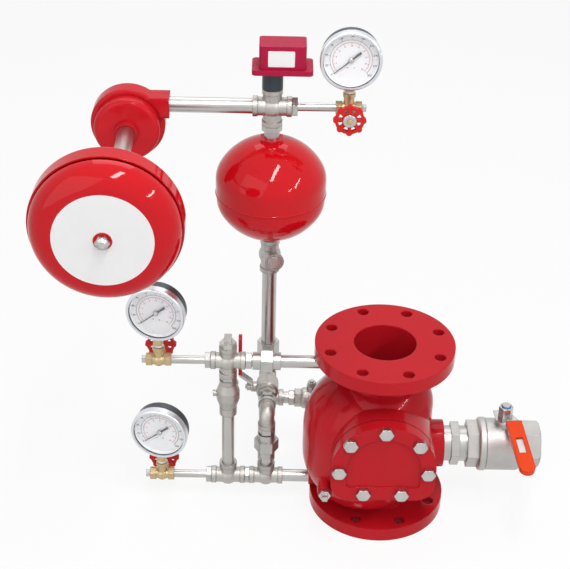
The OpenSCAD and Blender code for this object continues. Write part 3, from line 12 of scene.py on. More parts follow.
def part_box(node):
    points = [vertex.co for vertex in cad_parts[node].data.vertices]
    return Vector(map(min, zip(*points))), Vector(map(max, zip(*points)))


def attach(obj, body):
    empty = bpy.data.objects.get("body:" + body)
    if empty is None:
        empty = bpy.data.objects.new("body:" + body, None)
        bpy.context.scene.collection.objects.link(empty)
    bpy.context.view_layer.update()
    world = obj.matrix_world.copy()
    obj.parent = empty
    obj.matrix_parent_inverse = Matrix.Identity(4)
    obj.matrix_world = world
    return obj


bl_info = {
    "name": "Sprinkler alarm valve",
    "version": (1, 0, 0),
    "blender": (4, 5, 0),
    "location": "3D View > Sidebar > Alarm valve",
    "description": "Finishes and small pieces of a wet sprinkler alarm valve",
    "category": "Object",
}

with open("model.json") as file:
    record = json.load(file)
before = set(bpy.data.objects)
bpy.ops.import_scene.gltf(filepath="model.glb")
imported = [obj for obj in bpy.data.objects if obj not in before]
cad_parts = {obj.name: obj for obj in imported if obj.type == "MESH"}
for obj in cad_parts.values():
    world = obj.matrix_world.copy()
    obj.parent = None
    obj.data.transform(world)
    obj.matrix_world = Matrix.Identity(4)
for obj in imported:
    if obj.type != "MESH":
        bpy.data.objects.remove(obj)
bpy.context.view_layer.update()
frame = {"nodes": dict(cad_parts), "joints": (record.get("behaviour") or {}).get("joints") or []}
JOINTS = {joint["name"]: joint for joint in frame["joints"]}
GAUGES = ("upper", "lower", "top")
UP = (0, 0, 1)
DOWN = (0, 0, -1)
FRONT = (0, -1, 0)
PHOTO_WIDTH = 570
SENSOR_WIDTH = 36.0
CAMERA_FAR = 50.0
EDGE_SAMPLES = 4
MERGE_WITHIN = 1e-6


def size(name, default, words, high):
    """A length in metres on a settings group."""
    return FloatProperty(name=name, description=words, default=default, min=0.0, max=high, unit="LENGTH", precision=5)


def count(name, default, words, low, high):
    """A whole number on a settings group."""
    return IntProperty(name=name, description=words, default=default, min=low, max=high)


def angle(name, degrees, words, **limits):
    """An angle on a settings group, with its limits in radians where it has some."""
    return FloatProperty(name=name, description=words, default=math.radians(degrees), subtype="ANGLE", **limits)


def power(name, default, words):
    """A lamp's power on a settings group."""
    return FloatProperty(name=name, description=words, default=default, min=0.0, max=500.0, unit="POWER")


def colour(name, default, words):
    """A linear colour on a settings group."""
    return FloatVectorProperty(name=name, description=words, default=default, size=3, min=0.0, max=1.0, subtype="COLOR")


class FinishSettings(bpy.types.PropertyGroup):
    """Colours of the finishes."""

    casting_red: colour("Casting red", (0.54, 0.010, 0.018), "Paint on the cast body and its cover")
    casting_shade: colour("Casting shade", (0.45, 0.008, 0.015), "Where that paint lies thicker")
    motor_red: colour("Motor red", (0.55, 0.010, 0.018), "Paint on the water motor")
    sheet_red: colour("Sheet red", (0.60, 0.004, 0.010), "Paint on the retard chamber and the gong")
    sheet_shade: colour("Sheet shade", (0.49, 0.003, 0.008), "Where that paint lies thicker")
    wheel_red: colour("Wheel red", (0.66, 0.020, 0.018), "Paint on the handwheels")
    switch_red: colour("Switch red", (0.42, 0.010, 0.050), "Textured paint on the pressure switch")
    sleeve_orange: colour("Sleeve orange", (0.82, 0.060, 0.008), "Plastic on the drain lever")
    sleeve_red: colour("Sleeve red", (0.60, 0.015, 0.030), "Plastic on the small levers")
    pipe_steel: colour("Pipe steel", (0.57, 0.56, 0.54), "Drawn pipes and turned ends")
    cast_steel: colour("Cast steel", (0.55, 0.53, 0.50), "Blasted castings of the fittings")
    plate: colour("Nickel plate", (0.66, 0.64, 0.62), "Drain valve, bolts and levers")
    chrome: colour("Chrome", (0.72, 0.74, 0.77), "Gauge bezels")
    case_steel: colour("Case steel", (0.105, 0.110, 0.125), "Gauge cases")
    brass: colour("Brass", (0.62, 0.48, 0.28), "Gauge valves and the drip valve")
    bronze: colour("Bronze", (0.50, 0.33, 0.16), "Seat ring, clapper and the motor's inside")
    collar_black: colour("Collar black", (0.022, 0.032, 0.044), "Collar of the pressure switch")
    rubber_black: colour("Rubber black", (0.020, 0.020, 0.020), "Facing, gasket and lens seals")
    ink_black: colour("Black ink", (0.015, 0.015, 0.017), "Outer scale and pointers")
    ink_red: colour("Red ink", (0.55, 0.03, 0.05), "Inner scale")
    tape_white: colour("Tape white", (0.86, 0.86, 0.84), "Sealing tape")
    nylon_blue: colour("Nylon blue", (0.05, 0.20, 0.45), "Ring in the lock nut")
    dial_white: colour("Dial white", (0.92, 0.93, 0.95), "Gauge dials")
    label_white: colour("Label white", (0.82, 0.82, 0.82), "Bare labels")


class DialSettings(bpy.types.PropertyGroup):
    """Print of the gauge dials."""

    outer_r: size("Outer scale", 0.0325, "Radius of the black scale", 0.05)
    inner_r: size("Inner scale", 0.0290, "Radius of the red scale", 0.05)
    outer_text: size("Outer numbers", 0.0046, "Height of the black numbers", 0.02)
    inner_text: size("Inner numbers", 0.0036, "Height of the red numbers", 0.02)
    outer_end: count("Outer end", 300, "Last number of the black scale", 10, 900)
    inner_end: count("Inner end", 20, "Last number of the red scale", 1, 90)
    steps: count("Steps", 10, "Numbered steps of a scale", 4, 20)
    sweep: angle("Sweep", 262, "Angle over the whole scale", min=1.0, max=6.0)
    zero: angle("Zero", 131, "Turn of the zero from the top of the dial", min=0.0, max=6.0)


class StageSettings(bpy.types.PropertyGroup):
    """Camera and light."""

    eye: FloatVectorProperty(name="Camera place", description="Where the camera stands", size=3,
                             default=(-0.1858, -1.9349, 1.6367), subtype="TRANSLATION")
    pitch: angle("Pitch", 31.92, "Camera's look downwards")
    yaw: angle("Yaw", 0.61, "Camera's look to the right")
    roll: angle("Roll", 1.37, "Camera's lean")
    focal: FloatProperty(name="Focal length", description="Focal length in pixels of the photograph's width",
                         default=1438.1, min=100.0, max=5000.0)
    key: power("Key light", 34.0, "Power of the lamp above")
    side: power("Side light", 22.0, "Power of the lamp at the right")
    fill: power("Fill light", 22.0, "Power of the soft lamp at the left")
    back: power("Back light", 12.0, "Power of the soft lamp behind")
    sky: FloatProperty(name="Sky", description="Strength of the light from all round", default=0.33, min=0.0, max=4.0)


class Wire:
    """A shader output that takes part in Python expressions."""

    def __init__(self, shade, socket):
        self.shade = shade
        self.socket = socket

    def pair(self, operation, first, second):
        return self.shade.node("ShaderNodeMath", {"operation": operation}, {0: first, 1: second})

    def __add__(self, other):
        return self.pair("ADD", self, other)

    def __sub__(self, other):
        return self.pair("SUBTRACT", self, other)

    def __rsub__(self, other):
        return self.pair("SUBTRACT", other, self)

    def __mul__(self, other):
        return self.pair("MULTIPLY", self, other)

    __radd__ = __add__
    __rmul__ = __mul__


class Shade:
    """Node tree of a finish or of the world, around the shader that it starts with."""

    def __init__(self, owner, kind="BSDF_PRINCIPLED"):
        owner.use_nodes = True
        self.owner = owner
        self.tree = owner.node_tree
        self.surface = self.find(kind)

    def find(self, kind):
        return next(n for n in self.tree.nodes if n.type == kind)

    def node(self, kind, settings=None, sockets=None, out=0):
        """Adds a node: its settings come first, then values or wires go to its sockets."""
        made = self.tree.nodes.new(kind)
        for key, value in (settings or {}).items():
            setattr(made, key, value)
        for key, value in (sockets or {}).items():
            self.feed(made.inputs[key], value)
        return Wire(self, made.outputs[out])

    def feed(self, socket, value):
        if isinstance(value, Wire):
            self.tree.links.new(value.socket, socket)
        else:
            socket.default_value = value

    def give(self, **sockets):
        """Sets the sockets of the surface shader, named with _ for a space."""
        for key, value in sockets.items():
            self.feed(self.surface.inputs[key.replace("_", " ")], value)
        return self.owner

    def spot(self):
        """Place on the piece, in metres."""
        return self.node("ShaderNodeTexCoord", out="Object")

    def noise(self, scale, detail):
        return self.node("ShaderNodeTexNoise", {}, {"Vector": self.spot(), "Scale": scale, "Detail": detail})

    def mix(self, factor, first, second):
        """Blends two colours, each a wire or three numbers."""
        first, second = (v if isinstance(v, Wire) else rgba(v) for v in (first, second))
        return self.node("ShaderNodeMix", {"data_type": "RGBA"}, {0: factor, 6: first, 7: second}, out=2)

    def clamp(self, value):
        return self.node("ShaderNodeClamp", {}, {"Value": value})

    def softened(self, reach):
        """Normal that runs round the edges within reach."""
        return self.node("ShaderNodeBevel", {"samples": EDGE_SAMPLES}, {"Radius": reach})

    def worn(self, reach):
        """Nought on a plain face, rising where an edge or a corner lies within reach: the mask of the painted shade on
        the edges of bare metal.
        """
        flat = self.node("ShaderNodeNewGeometry", out="Normal")
        along = self.node("ShaderNodeVectorMath", {"operation": "DOT_PRODUCT"}, {0: self.softened(reach), 1: flat},
                          out="Value")
        return self.clamp(1.0 - along)

    def bump(self, height, strength, distance, edge=0.0):
        sockets = {"Height": height, "Strength": strength, "Distance": distance}
        if edge:
            sockets["Normal"] = self.softened(edge)
        return self.node("ShaderNodeBump", {}, sockets)


def rgba(values):
    return (values[0], values[1], values[2], 1.0)


def dim(values, share):
    return [v * share for v in values]


def blank(name):
    return Shade(bpy.data.materials.new(name))


def paint(name, full, thick, rough, lumps, edge, peel=0.05, ripple=0.14, coat=0.19):
    """Gloss paint: slow changes of tone, orange peel, and the lumps of a casting beneath it."""
    shade = blank(name)
    tone = shade.noise(scale=9, detail=3)
    cast = shade.noise(scale=55, detail=4)
    skin = shade.noise(scale=420, detail=2)
    return shade.give(
        Base_Color=shade.mix(tone, full, thick),
        Roughness=rough + ripple * cast,
        Specular_IOR_Level=0.05,
        Coat_Weight=coat,
        Coat_Roughness=0.05,
        Normal=shade.bump(cast * lumps + skin * peel, strength=0.5, distance=0.0012, edge=edge),
    )


# Painted shade: the base colour of bare metal darkens near its edges and corners, standing in for the contrast and
# outlines that the lamps and reflections don't give.
EDGE_SHADE_REACH = 1.6
EDGE_SHADE_GAIN = 4.0
EDGE_SHADE_TONE = 0.42


def metal(name, tone, rough, grain, depth, mottle=14, dull=0.82, edge=0.0006):
    """Bare metal: mottled tone, painted shade that darkens its edges, and a grain that breaks up its gloss."""
    shade = blank(name)
    low, high = rough
    cloud = shade.noise(mottle, detail=4)
    fine = shade.noise(grain, detail=3)
    clean = shade.mix(cloud, tone, dim(tone, dull))
    return shade.give(
        # Painted shade: the base colour is darkened where an edge or corner lies within reach.
        Base_Color=shade.mix(shade.worn(EDGE_SHADE_REACH * edge) * EDGE_SHADE_GAIN, clean, dim(tone, EDGE_SHADE_TONE)),
        Metallic=1.0,
        Roughness=low + (high - low) * fine,
        Normal=shade.bump(fine + 0.6 * cloud, depth, distance=0.0008, edge=edge),
    )


def plastic(name, full, rough=0.4, grain=700, depth=0.06, edge=0.001, gloss=0.5):
    """Moulded plastic with a fine skin."""
    shade = blank(name)
    cloud = shade.noise(scale=25, detail=3)
    fine = shade.noise(grain, detail=2)
    return shade.give(
        Base_Color=shade.mix(cloud, full, dim(full, 0.85)),
        Roughness=rough + 0.12 * fine,
        Specular_IOR_Level=gloss,
        Normal=shade.bump(fine, depth, distance=0.0006, edge=edge),
    )


def textured_paint(name, full):
    """Stippled paint of a die casting."""
    shade = blank(name)
    grain = shade.node("ShaderNodeTexVoronoi", {}, {"Vector": shade.spot(), "Scale": 420})
    cloud = shade.noise(scale=18, detail=3)
    return shade.give(
        Base_Color=shade.mix(cloud, full, dim(full, 0.86)),
        Roughness=0.34 + 0.2 * grain,
        Specular_IOR_Level=0.14,
        Normal=shade.bump(grain, strength=0.45, distance=0.0008, edge=0.002),
    )


def clear_lens(name):
    """Thin clear glass that lets the light through to the dial."""
    shade = blank(name)
    smear = shade.noise(scale=30, detail=2)
    return shade.give(
        Base_Color=(0.97, 0.99, 1.0, 1.0),
        Roughness=0.02 + 0.03 * smear,
        Alpha=0.04 + 0.04 * smear,
        IOR=1.5,
    )


def printed_face(name, full):
    """Matt printed sheet with a faint tooth."""
    shade = blank(name)
    tooth = shade.noise(scale=900, detail=2)
    cloud = shade.noise(scale=40, detail=2)
    return shade.give(
        Base_Color=shade.mix(cloud, full, dim(full, 0.96)),
        Roughness=0.38 + 0.1 * tooth,
        Normal=shade.bump(tooth, strength=0.03, distance=0.0003),
    )


def finishes():
    """Every finish of the part, made once."""
    look = bpy.context.scene.alarm_valve_finish
    return {
        "casting": paint("casting_paint", look.casting_red, look.casting_shade, rough=0.13, lumps=0.45, edge=0.004),
        "motor": paint("motor_paint", look.motor_red, look.casting_red, rough=0.10, lumps=0.20, edge=0.010,
                       ripple=0.08),
        "sheet": paint("sheet_paint", look.sheet_red, look.sheet_shade, rough=0.05, lumps=0.03, edge=0.0007, peel=0.03,
                       ripple=0.05, coat=0.36),
        "wheel": paint("wheel_paint", look.wheel_red, dim(look.wheel_red, 0.8), rough=0.22, lumps=0.12, edge=0.0016),
        "switch": textured_paint("switch_paint", look.switch_red),
        "pipe": metal("drawn_pipe", look.pipe_steel, (0.22, 0.40), grain=1800, depth=0.05, mottle=22, dull=0.74),
        "turned": metal("turned_steel", dim(look.pipe_steel, 0.98), (0.26, 0.42), grain=1500, depth=0.04, mottle=50,
                        dull=0.70, edge=0.0010),
        "cast_metal": metal("blasted_casting", look.cast_steel, (0.36, 0.56), grain=900, depth=0.28, mottle=45,
                            dull=0.70, edge=0.0018),
        "nickel": metal("plated_steel", look.plate, (0.22, 0.40), grain=900, depth=0.04, mottle=60, dull=0.66,
                        edge=0.0011),
        "drain": metal("plated_casting", dim(look.plate, 0.86), (0.36, 0.56), grain=650, depth=0.22, mottle=40,
                       dull=0.72, edge=0.0016),
        "chrome": metal("satin_chrome", look.chrome, (0.24, 0.36), grain=900, depth=0.005, mottle=6, dull=0.95),
        "brass": metal("forged_brass", look.brass, (0.32, 0.50), grain=420, depth=0.12, mottle=40, dull=0.78,
                       edge=0.001),
        "bronze": metal("machined_bronze", look.bronze, (0.24, 0.38), grain=500, depth=0.05),
        "case": metal("gauge_case_steel", look.case_steel, (0.34, 0.46), grain=500, depth=0.04),
        "orange": plastic("orange_sleeve", look.sleeve_orange, rough=0.20, edge=0.003, gloss=0.16),
        "red_vinyl": plastic("red_sleeve", look.sleeve_red, rough=0.24, edge=0.002, gloss=0.16),
        "black": plastic("black_collar", look.collar_black),
        "ink": plastic("black_ink", look.ink_black, rough=0.45),
        "red_ink": plastic("red_ink", look.ink_red, rough=0.45),
        "rubber": plastic("rubber_sheet", look.rubber_black, rough=0.62, grain=300, depth=0.15),
        "tape": plastic("sealing_tape", look.tape_white, rough=0.55, grain=250, depth=0.35),
        "nylon": plastic("nylon_ring", look.nylon_blue),
        "dial": printed_face("dial_sheet", look.dial_white),
        "label": printed_face("bare_label", look.label_white),
        "lens": clear_lens("gauge_glass"),
    }


NODE_FINISH = {
    "casting": ["valve_body", "hatch_cover"],
    "motor": ["motor_housing", "motor_cover"],
    "sheet": ["retard_lower", "retard_upper", "gong_plate", "gong_dome"],
    "wheel": ["handwheel_upper", "handwheel_lower", "handwheel_top"],
    "switch": ["switch_base", "switch_cover"],
    "pipe": ["trim_pipes", "shaft_tube"],
    "turned": ["hex_nipples", "reducing_bushes", "unions", "drain_nipple", "spindle_upper", "spindle_lower",
               "spindle_top", "switch_plunger", "hinge_pin", "test_ball", "alarm_ball", "drain_ball"],
    "cast_metal": ["trim_fittings", "check_valve_body", "small_valve_bodies"],
    "drain": ["drain_valve_body", "drain_valve_end"],
    "nickel": ["hatch_bolts", "pipe_plugs", "drain_lock_nut", "drain_lever", "test_lever", "alarm_lever", "gong_stud"],
    "chrome": ["gauge_bezels"],
    "brass": ["gauge_valves", "gauge_stems", "drip_valve"],
    "bronze": ["seat_ring", "clapper", "check_disc", "motor_runner", "striker"],
    "case": ["gauge_cases"],
    "orange": ["drain_sleeve"],
    "red_vinyl": ["test_sleeve", "alarm_sleeve"],
    "black": ["switch_collar"],
    "ink": ["pointer_upper", "pointer_lower", "pointer_top"],
    "rubber": ["clapper_facing", "hatch_gasket"],
    "dial": ["gauge_dials"],
    "lens": ["gauge_lenses"],
}


def finish(key):
    """The material of a finish that the finishes operator made."""
    return bpy.data.materials[bpy.context.scene["alarm_valve_finishes"][key]]


def joint_place(name):
    return Vector(JOINTS[name]["pos_m"])


def joint_axis(name):
    return Vector(JOINTS[name]["axis"])


def face(box, away):
    """Middle of the face of a box that looks away along one axis."""
    low, high = (Vector(corner) for corner in box)
    return (low + high) / 2 + (high - low) * Vector(away) / 2


def place(centre, normal):
    """Frame at a point with Z along the normal and Y as near to upright as it goes."""
    z = Vector(normal).normalized()
    x = Vector(UP).cross(z).normalized()
    turn = Matrix((x, z.cross(x), z)).transposed().to_4x4()
    return Matrix.Translation(Vector(centre)) @ turn


def piece(name, shape, body, key, at):
    """Makes an object of a bmesh, in its place, and lets it ride on a body."""
    bmesh.ops.transform(shape, matrix=at, verts=shape.verts)
    bmesh.ops.remove_doubles(shape, verts=shape.verts, dist=MERGE_WITHIN)
    bmesh.ops.recalc_face_normals(shape, faces=shape.faces)
    mesh = bpy.data.meshes.new(name)
    shape.to_mesh(mesh)
    shape.free()
    made = bpy.data.objects.new(name, mesh)
    bpy.context.scene.collection.objects.link(made)
    mesh.materials.append(finish(key))
    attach(made, body)


def turned(outline, steps, shape=None, centre=(0, 0)):
    """Spins a half outline of (radius, height) points about an upright axis, in a given bmesh or a new one."""
    if shape is None:
        shape = bmesh.new()
    x, y = centre
    verts = [shape.verts.new((x + r, y, z)) for r, z in outline]
    edges = [shape.edges.new(pair) for pair in zip(verts, verts[1:])]
    bmesh.ops.spin(shape, geom=verts + edges, axis=UP, cent=(x, y, 0), angle=math.tau, steps=steps, use_merge=True)
    return shape


def block(shape, length, width, height, at):
    """Block with its middle at the frame's origin."""
    bmesh.ops.create_cube(shape, size=1.0, matrix=at @ Matrix.Diagonal((width, length, height, 1)))


def rounded(shape, edges, offset, segments=2):
    """Rounds some edges of a bmesh."""
    bmesh.ops.bevel(shape, geom=list(edges), offset=offset, affect="EDGES", segments=segments, profile=0.5, material=-1)


def hexagon(flats, low, high, offset):
    """Hexagon bar between two heights with its upper edge rounded."""
    shape = bmesh.new()
    middle, corner = (low + high) / 2, flats / math.sqrt(3)
    bmesh.ops.create_cone(shape, cap_ends=True, segments=6, radius1=corner, radius2=corner, depth=high - low,
                          matrix=Matrix.Translation((0, 0, middle)))
    rounded(shape, [e for e in shape.edges if all(v.co.z > middle for v in e.verts)], offset)
    return shape


NUMBER_BOLD = 0.02
NUMBER_SMOOTH = 3


def number(shape, words, height, at):
    """Adds a number as a flat mesh, centred on the frame's origin."""
    curve = bpy.data.curves.new("number", "FONT")
    curve.body = words
    curve.size = height
    curve.align_x = "CENTER"
    curve.align_y = "CENTER"
    curve.resolution_u = NUMBER_SMOOTH
    curve.offset = NUMBER_BOLD * height
    source = bpy.data.objects.new("number", curve)
    before = len(shape.verts)
    shape.from_mesh(source.to_mesh())
    shape.verts.ensure_lookup_table()
    bmesh.ops.transform(shape, matrix=at, verts=shape.verts[before:])
    source.to_mesh_clear()
    bpy.data.objects.remove(source)
    bpy.data.curves.remove(curve)


class ALARMVALVE_OT_finishes(bpy.types.Operator):
    """Makes the finishes and gives one to every solid"""

    bl_idname = "alarm_valve.finishes"
    bl_label = "Finishes of the solids"

    def execute(self, context):
        made = finishes()
        context.scene["alarm_valve_finishes"] = {key: material.name for key, material in made.items()}
        for key, names in NODE_FINISH.items():
            for name in names:
                mesh = frame["nodes"][name].data
                mesh.materials.clear()
                mesh.materials.append(made[key])
        bare = set(frame["nodes"]) - {name for names in NODE_FINISH.values() for name in names}
        if bare:
            raise RuntimeError("no finish for " + ", ".join(sorted(bare)))
        return {"FINISHED"}


DIAL_FORWARD = 0.007
PRINT_LIFT = 0.00004
PRINT_THICK = 0.00004
TICKS = 10
HALF_STEP = 5
LONG_TICK, MIDDLE_TICK, SHORT_TICK = 0.0034, 0.0024, 0.0015
BOLD_TICK, FINE_TICK = 0.00055, 0.00028
NUMBERS_OUT, NUMBERS_IN = 0.0064, 0.0058
ARC_WIDTH = 0.0004
ARC_STEPS = 72
SCREW_SPREAD, SCREW_DROP = 0.0052, 0.013
SCREW_HEAD = ((0, 0.0006), (0.0010, 0.0005), (0.0014, 0.0002), (0.0014, 0))
POINTER_CAP = ((0, 0.0050), (0.0022, 0.0049), (0.0034, 0.0044), (0.0042, 0.0034), (0.0042, 0.0026))
DIAL_RIM = ((0.0416, 0.00006), (0.0429, 0.0056), (0.0437, 0.0056), (0.0437, 0.00006))
LENS_SEAL = ((0.0428, 0.0057), (0.0428, 0.0059), (0.0438, 0.0059), (0.0438, 0.0057))


class ALARMVALVE_OT_dials(bpy.types.Operator):
    """Prints the scales of the gauges and sets their screws, pointer caps, rims and lens seals"""

    bl_idname = "alarm_valve.dials"
    bl_label = "Gauge dials"

    def scale(self, dial, radius, end, text, outward):
        """Ticks, numbers and arc of one scale, outwards or inwards from its radius."""
        shape = bmesh.new()
        ticks = dial.steps * TICKS
        away = NUMBERS_OUT if outward else -NUMBERS_IN
        facing = Matrix.Rotation(0 if outward else math.pi, 4, "Z")
        for i in range(ticks + 1):
            turn = Matrix.Rotation(dial.zero - dial.sweep * i / ticks, 4, "Z")
            numbered = i % TICKS == 0
            length = LONG_TICK if numbered else MIDDLE_TICK if i % HALF_STEP == 0 else SHORT_TICK
            middle = Matrix.Translation((0, length / 2, PRINT_THICK / 2))
            foot = turn @ Matrix.Translation((0, radius, PRINT_LIFT)) @ facing
            block(shape, length, BOLD_TICK if numbered else FINE_TICK, PRINT_THICK, foot @ middle)
            if numbered:
                spot = turn @ Vector((0, radius + away, PRINT_LIFT))
                number(shape, str(round(end * i / ticks)), text, Matrix.Translation(spot))
        self.arc(shape, dial, radius)
        return shape

    def arc(self, shape, dial, radius):
        start = Matrix.Rotation(dial.zero, 4, "Z")
        spots = [Vector((0, radius + side * ARC_WIDTH / 2, PRINT_LIFT)) for side in (-1, 1)]
        first, last = (shape.verts.new(start @ spot) for spot in spots)
        edge = shape.edges.new((first, last))
        bmesh.ops.spin(shape, geom=[first, last, edge], axis=UP, cent=(0, 0, 0), angle=-dial.sweep, steps=ARC_STEPS)

    def execute(self, context):
        dial = context.scene.alarm_valve_dial
        for key in GAUGES:
            pivot = "pointer_%s_turn" % key
            normal = -joint_axis(pivot)
            at = place(joint_place(pivot) + DIAL_FORWARD * normal, normal)
            black = self.scale(dial, dial.outer_r, dial.outer_end, dial.outer_text, outward=True)
            red = self.scale(dial, dial.inner_r, dial.inner_end, dial.inner_text, outward=False)
            piece("dial_black_" + key, black, "valve", "ink", at)
            piece("dial_red_" + key, red, "valve", "red_ink", at)
            screws = bmesh.new()
            for side in (-1, 1):
                turned(SCREW_HEAD, steps=16, shape=screws, centre=(side * SCREW_SPREAD, -SCREW_DROP))
            piece("dial_screws_" + key, screws, "valve", "nickel", at)
            piece("pointer_cap_" + key, turned(POINTER_CAP, steps=32), "pointer_" + key, "nickel", at)
            piece("dial_rim_" + key, turned(DIAL_RIM, steps=96), "valve", "dial", at)
            piece("lens_seal_" + key, turned(LENS_SEAL, steps=96), "valve", "rubber", at)
        return {"FINISHED"}


def gauge_valve(key):
    """Middle of a gauge's valve: under the gauge, at the height of the handwheel."""
    middle = joint_place("pointer_%s_turn" % key)
    middle.z = joint_place("handwheel_%s_turn" % key).z
    return middle


TAPE_RISE = 0.026
TAPE = ((0.0066, 0.0), (0.0076, 0.0004), (0.0079, 0.0018), (0.0076, 0.0032), (0.0079, 0.0042), (0.0074, 0.0049),
        (0.0066, 0.0050))


class ALARMVALVE_OT_tape(bpy.types.Operator):
    """Winds sealing tape on the threads of the gauge stems"""

    bl_idname = "alarm_valve.tape"
    bl_label = "Sealing tape"

    def execute(self, context):
        for key in GAUGES:
            at = Matrix.Translation(gauge_valve(key) + Vector((0, 0, TAPE_RISE)))
            piece("stem_tape_" + key, turned(TAPE, steps=40), "valve", "tape", at)
        return {"FINISHED"}


WHEEL_FACE = 0.0056
WHEEL_DISC = ((0.0033, 0), (0.0033, 0.0012), (0.0090, 0.0011), (0.0104, 0.0006), (0.0107, 0))
WHEEL_NUT = {"flats": 0.0085, "low": 0.0012, "high": 0.0050, "offset": 0.0006}


class ALARMVALVE_OT_wheel_discs(bpy.types.Operator):
    """Sets the silver disc and the nut on each handwheel"""

    bl_idname = "alarm_valve.wheel_discs"
    bl_label = "Handwheel discs"

    def execute(self, context):
        for key in GAUGES:
            joint = "handwheel_%s_turn" % key
            at = place(joint_place(joint), -joint_axis(joint)) @ Matrix.Translation((0, 0, WHEEL_FACE))
            piece("wheel_disc_" + key, turned(WHEEL_DISC, steps=40), "handwheel_" + key, "nickel", at)
            piece("wheel_nut_" + key, hexagon(**WHEEL_NUT), "handwheel_" + key, "brass", at)
        return {"FINISHED"}


PLUG_OUT = 0.0205
PLUG_SIDE, PLUG_LENGTH = 0.0094, 0.0072
PLUG_MIDDLE = 0.0037
PLUG_EDGE = 0.0005


class ALARMVALVE_OT_valve_plugs(bpy.types.Operator):
    """Caps the spare outlet of each gauge valve with a plated plug"""

    bl_idname = "alarm_valve.valve_plugs"
    bl_label = "Gauge valve plugs"

    def execute(self, context):
        for key in GAUGES:
            side = Vector((1 if key == "top" else -1, 0, 0))
            plug = bmesh.new()
            block(plug, PLUG_SIDE, PLUG_SIDE, PLUG_LENGTH, Matrix.Translation((0, 0, PLUG_MIDDLE)))
            rounded(plug, plug.edges, PLUG_EDGE)
            at = place(gauge_valve(key) + PLUG_OUT * side, side)
            piece("valve_plug_" + key, plug, "valve", "nickel", at)
        return {"FINISHED"}


GONG_LABEL = ((0.0135, 0.00002), (0.0135, 0.00025), (0.0706, 0.00025), (0.0710, 0.00002))
GONG_WASHER = ((0.0098, 0.0001), (0.0098, 0.0012), (0.0125, 0.0014), (0.0134, 0.0008), (0.0134, 0.0001))


class ALARMVALVE_OT_gong_label(bpy.types.Operator):
    """Lays the bare label on the gong and the painted ring under its nut"""

    bl_idname = "alarm_valve.gong_label"
    bl_label = "Gong label"

    def execute(self, context):
        at = place(face(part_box("gong_dome"), FRONT), FRONT)
        piece("gong_label", turned(GONG_LABEL, steps=128), "valve", "label", at)
        piece("gong_washer", turned(GONG_WASHER, steps=64), "valve", "sheet", at)
        return {"FINISHED"}


CARD_WIDTH, CARD_HEIGHT, CARD_THICK = 0.041, 0.026, 0.0003
CARD_LIFT = 0.0001
CARD_LEFT, CARD_DOWN = 0.002, 0.001
CARD_CORNER = 0.0015


class ALARMVALVE_OT_switch_label(bpy.types.Operator):
    """Puts the bare label on the pressure switch"""

    bl_idname = "alarm_valve.switch_label"
    bl_label = "Switch label"

    def execute(self, context):
        at = place(face(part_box("switch_cover"), FRONT) - Vector((CARD_LEFT, 0, CARD_DOWN)), FRONT)
        card = bmesh.new()
        block(card, CARD_HEIGHT, CARD_WIDTH, CARD_THICK, Matrix.Translation((0, 0, CARD_LIFT)))
        upright = [e for e in card.edges if abs(e.verts[0].co.z - e.verts[1].co.z) > CARD_THICK / 2]
        rounded(card, upright, CARD_CORNER, segments=4)
        piece("switch_label", card, "valve", "label", at)
        return {"FINISHED"}


LOCK_RING = ((0.0071, 0.0), (0.0071, 0.0008), (0.0084, 0.0008), (0.0086, 0.0))


class ALARMVALVE_OT_lock_ring(bpy.types.Operator):
    """Sets the nylon ring in the lock nut of the drain lever"""

    bl_idname = "alarm_valve.lock_ring"
    bl_label = "Nylon ring"

    def execute(self, context):
        at = Matrix.Translation(face(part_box("drain_lock_nut"), UP))
        piece("lock_nut_ring", turned(LOCK_RING, steps=40), "drain_lever", "nylon", at)
        return {"FINISHED"}


WELD_BEAD = ((-0.0022, -0.0030), (-0.0002, -0.0020), (0.0008, -0.0010), (0.0006, 0.0004), (-0.0004, 0.0014))
WELD_RIPPLES = ((90, 0.0012), (37, 0.0008))


class ALARMVALVE_OT_weld(bpy.types.Operator):
    """Runs the weld bead round the retard chamber's seam"""

    bl_idname = "alarm_valve.weld"
    bl_label = "Retard chamber weld"

    def execute(self, context):
        low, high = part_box("retard_upper")
        at = Matrix.Translation(face((low, high), DOWN))
        reach = (high[0] - low[0]) / 2
        bead = turned([(reach + out, z) for out, z in WELD_BEAD], steps=180)
        for vert in bead.verts:
            turn = math.atan2(vert.co.y, vert.co.x)
            ripple = min(1 + sum(depth * math.sin(waves * turn) for waves, depth in WELD_RIPPLES), 1.0)
            vert.co.x *= ripple
            # Dressed flat at the back, where the bead would stand out of the part's own box
            vert.co.y = min(vert.co.y * ripple, reach)
        piece("retard_weld", bead, "valve", "sheet", at)
        return {"FINISHED"}


LAMP_TARGET = (-0.15, 0.0, 0.40)
LAMPS = {
    "key": {"extent": (0.22, 1.50), "at": (0.10, -0.90, 2.70), "lean": math.radians(-35)},
    "side": {"extent": (0.10, 2.00), "at": (1.90, -1.30, 1.90), "lean": math.radians(-70)},
    "fill": {"extent": (2.60, 2.60), "at": (-1.90, -1.90, 1.70), "lean": 0.0},
    "back": {"extent": (1.60, 1.20), "at": (-0.20, 1.40, 2.40), "lean": 0.0},
}
WHITE = (1.0, 1.0, 1.0, 1.0)
FLOOR_HALF = 6.0
FLOOR_GLOW = 0.88
SEEING_RAYS = ("Is Camera Ray", "Is Glossy Ray", "Is Transmission Ray")


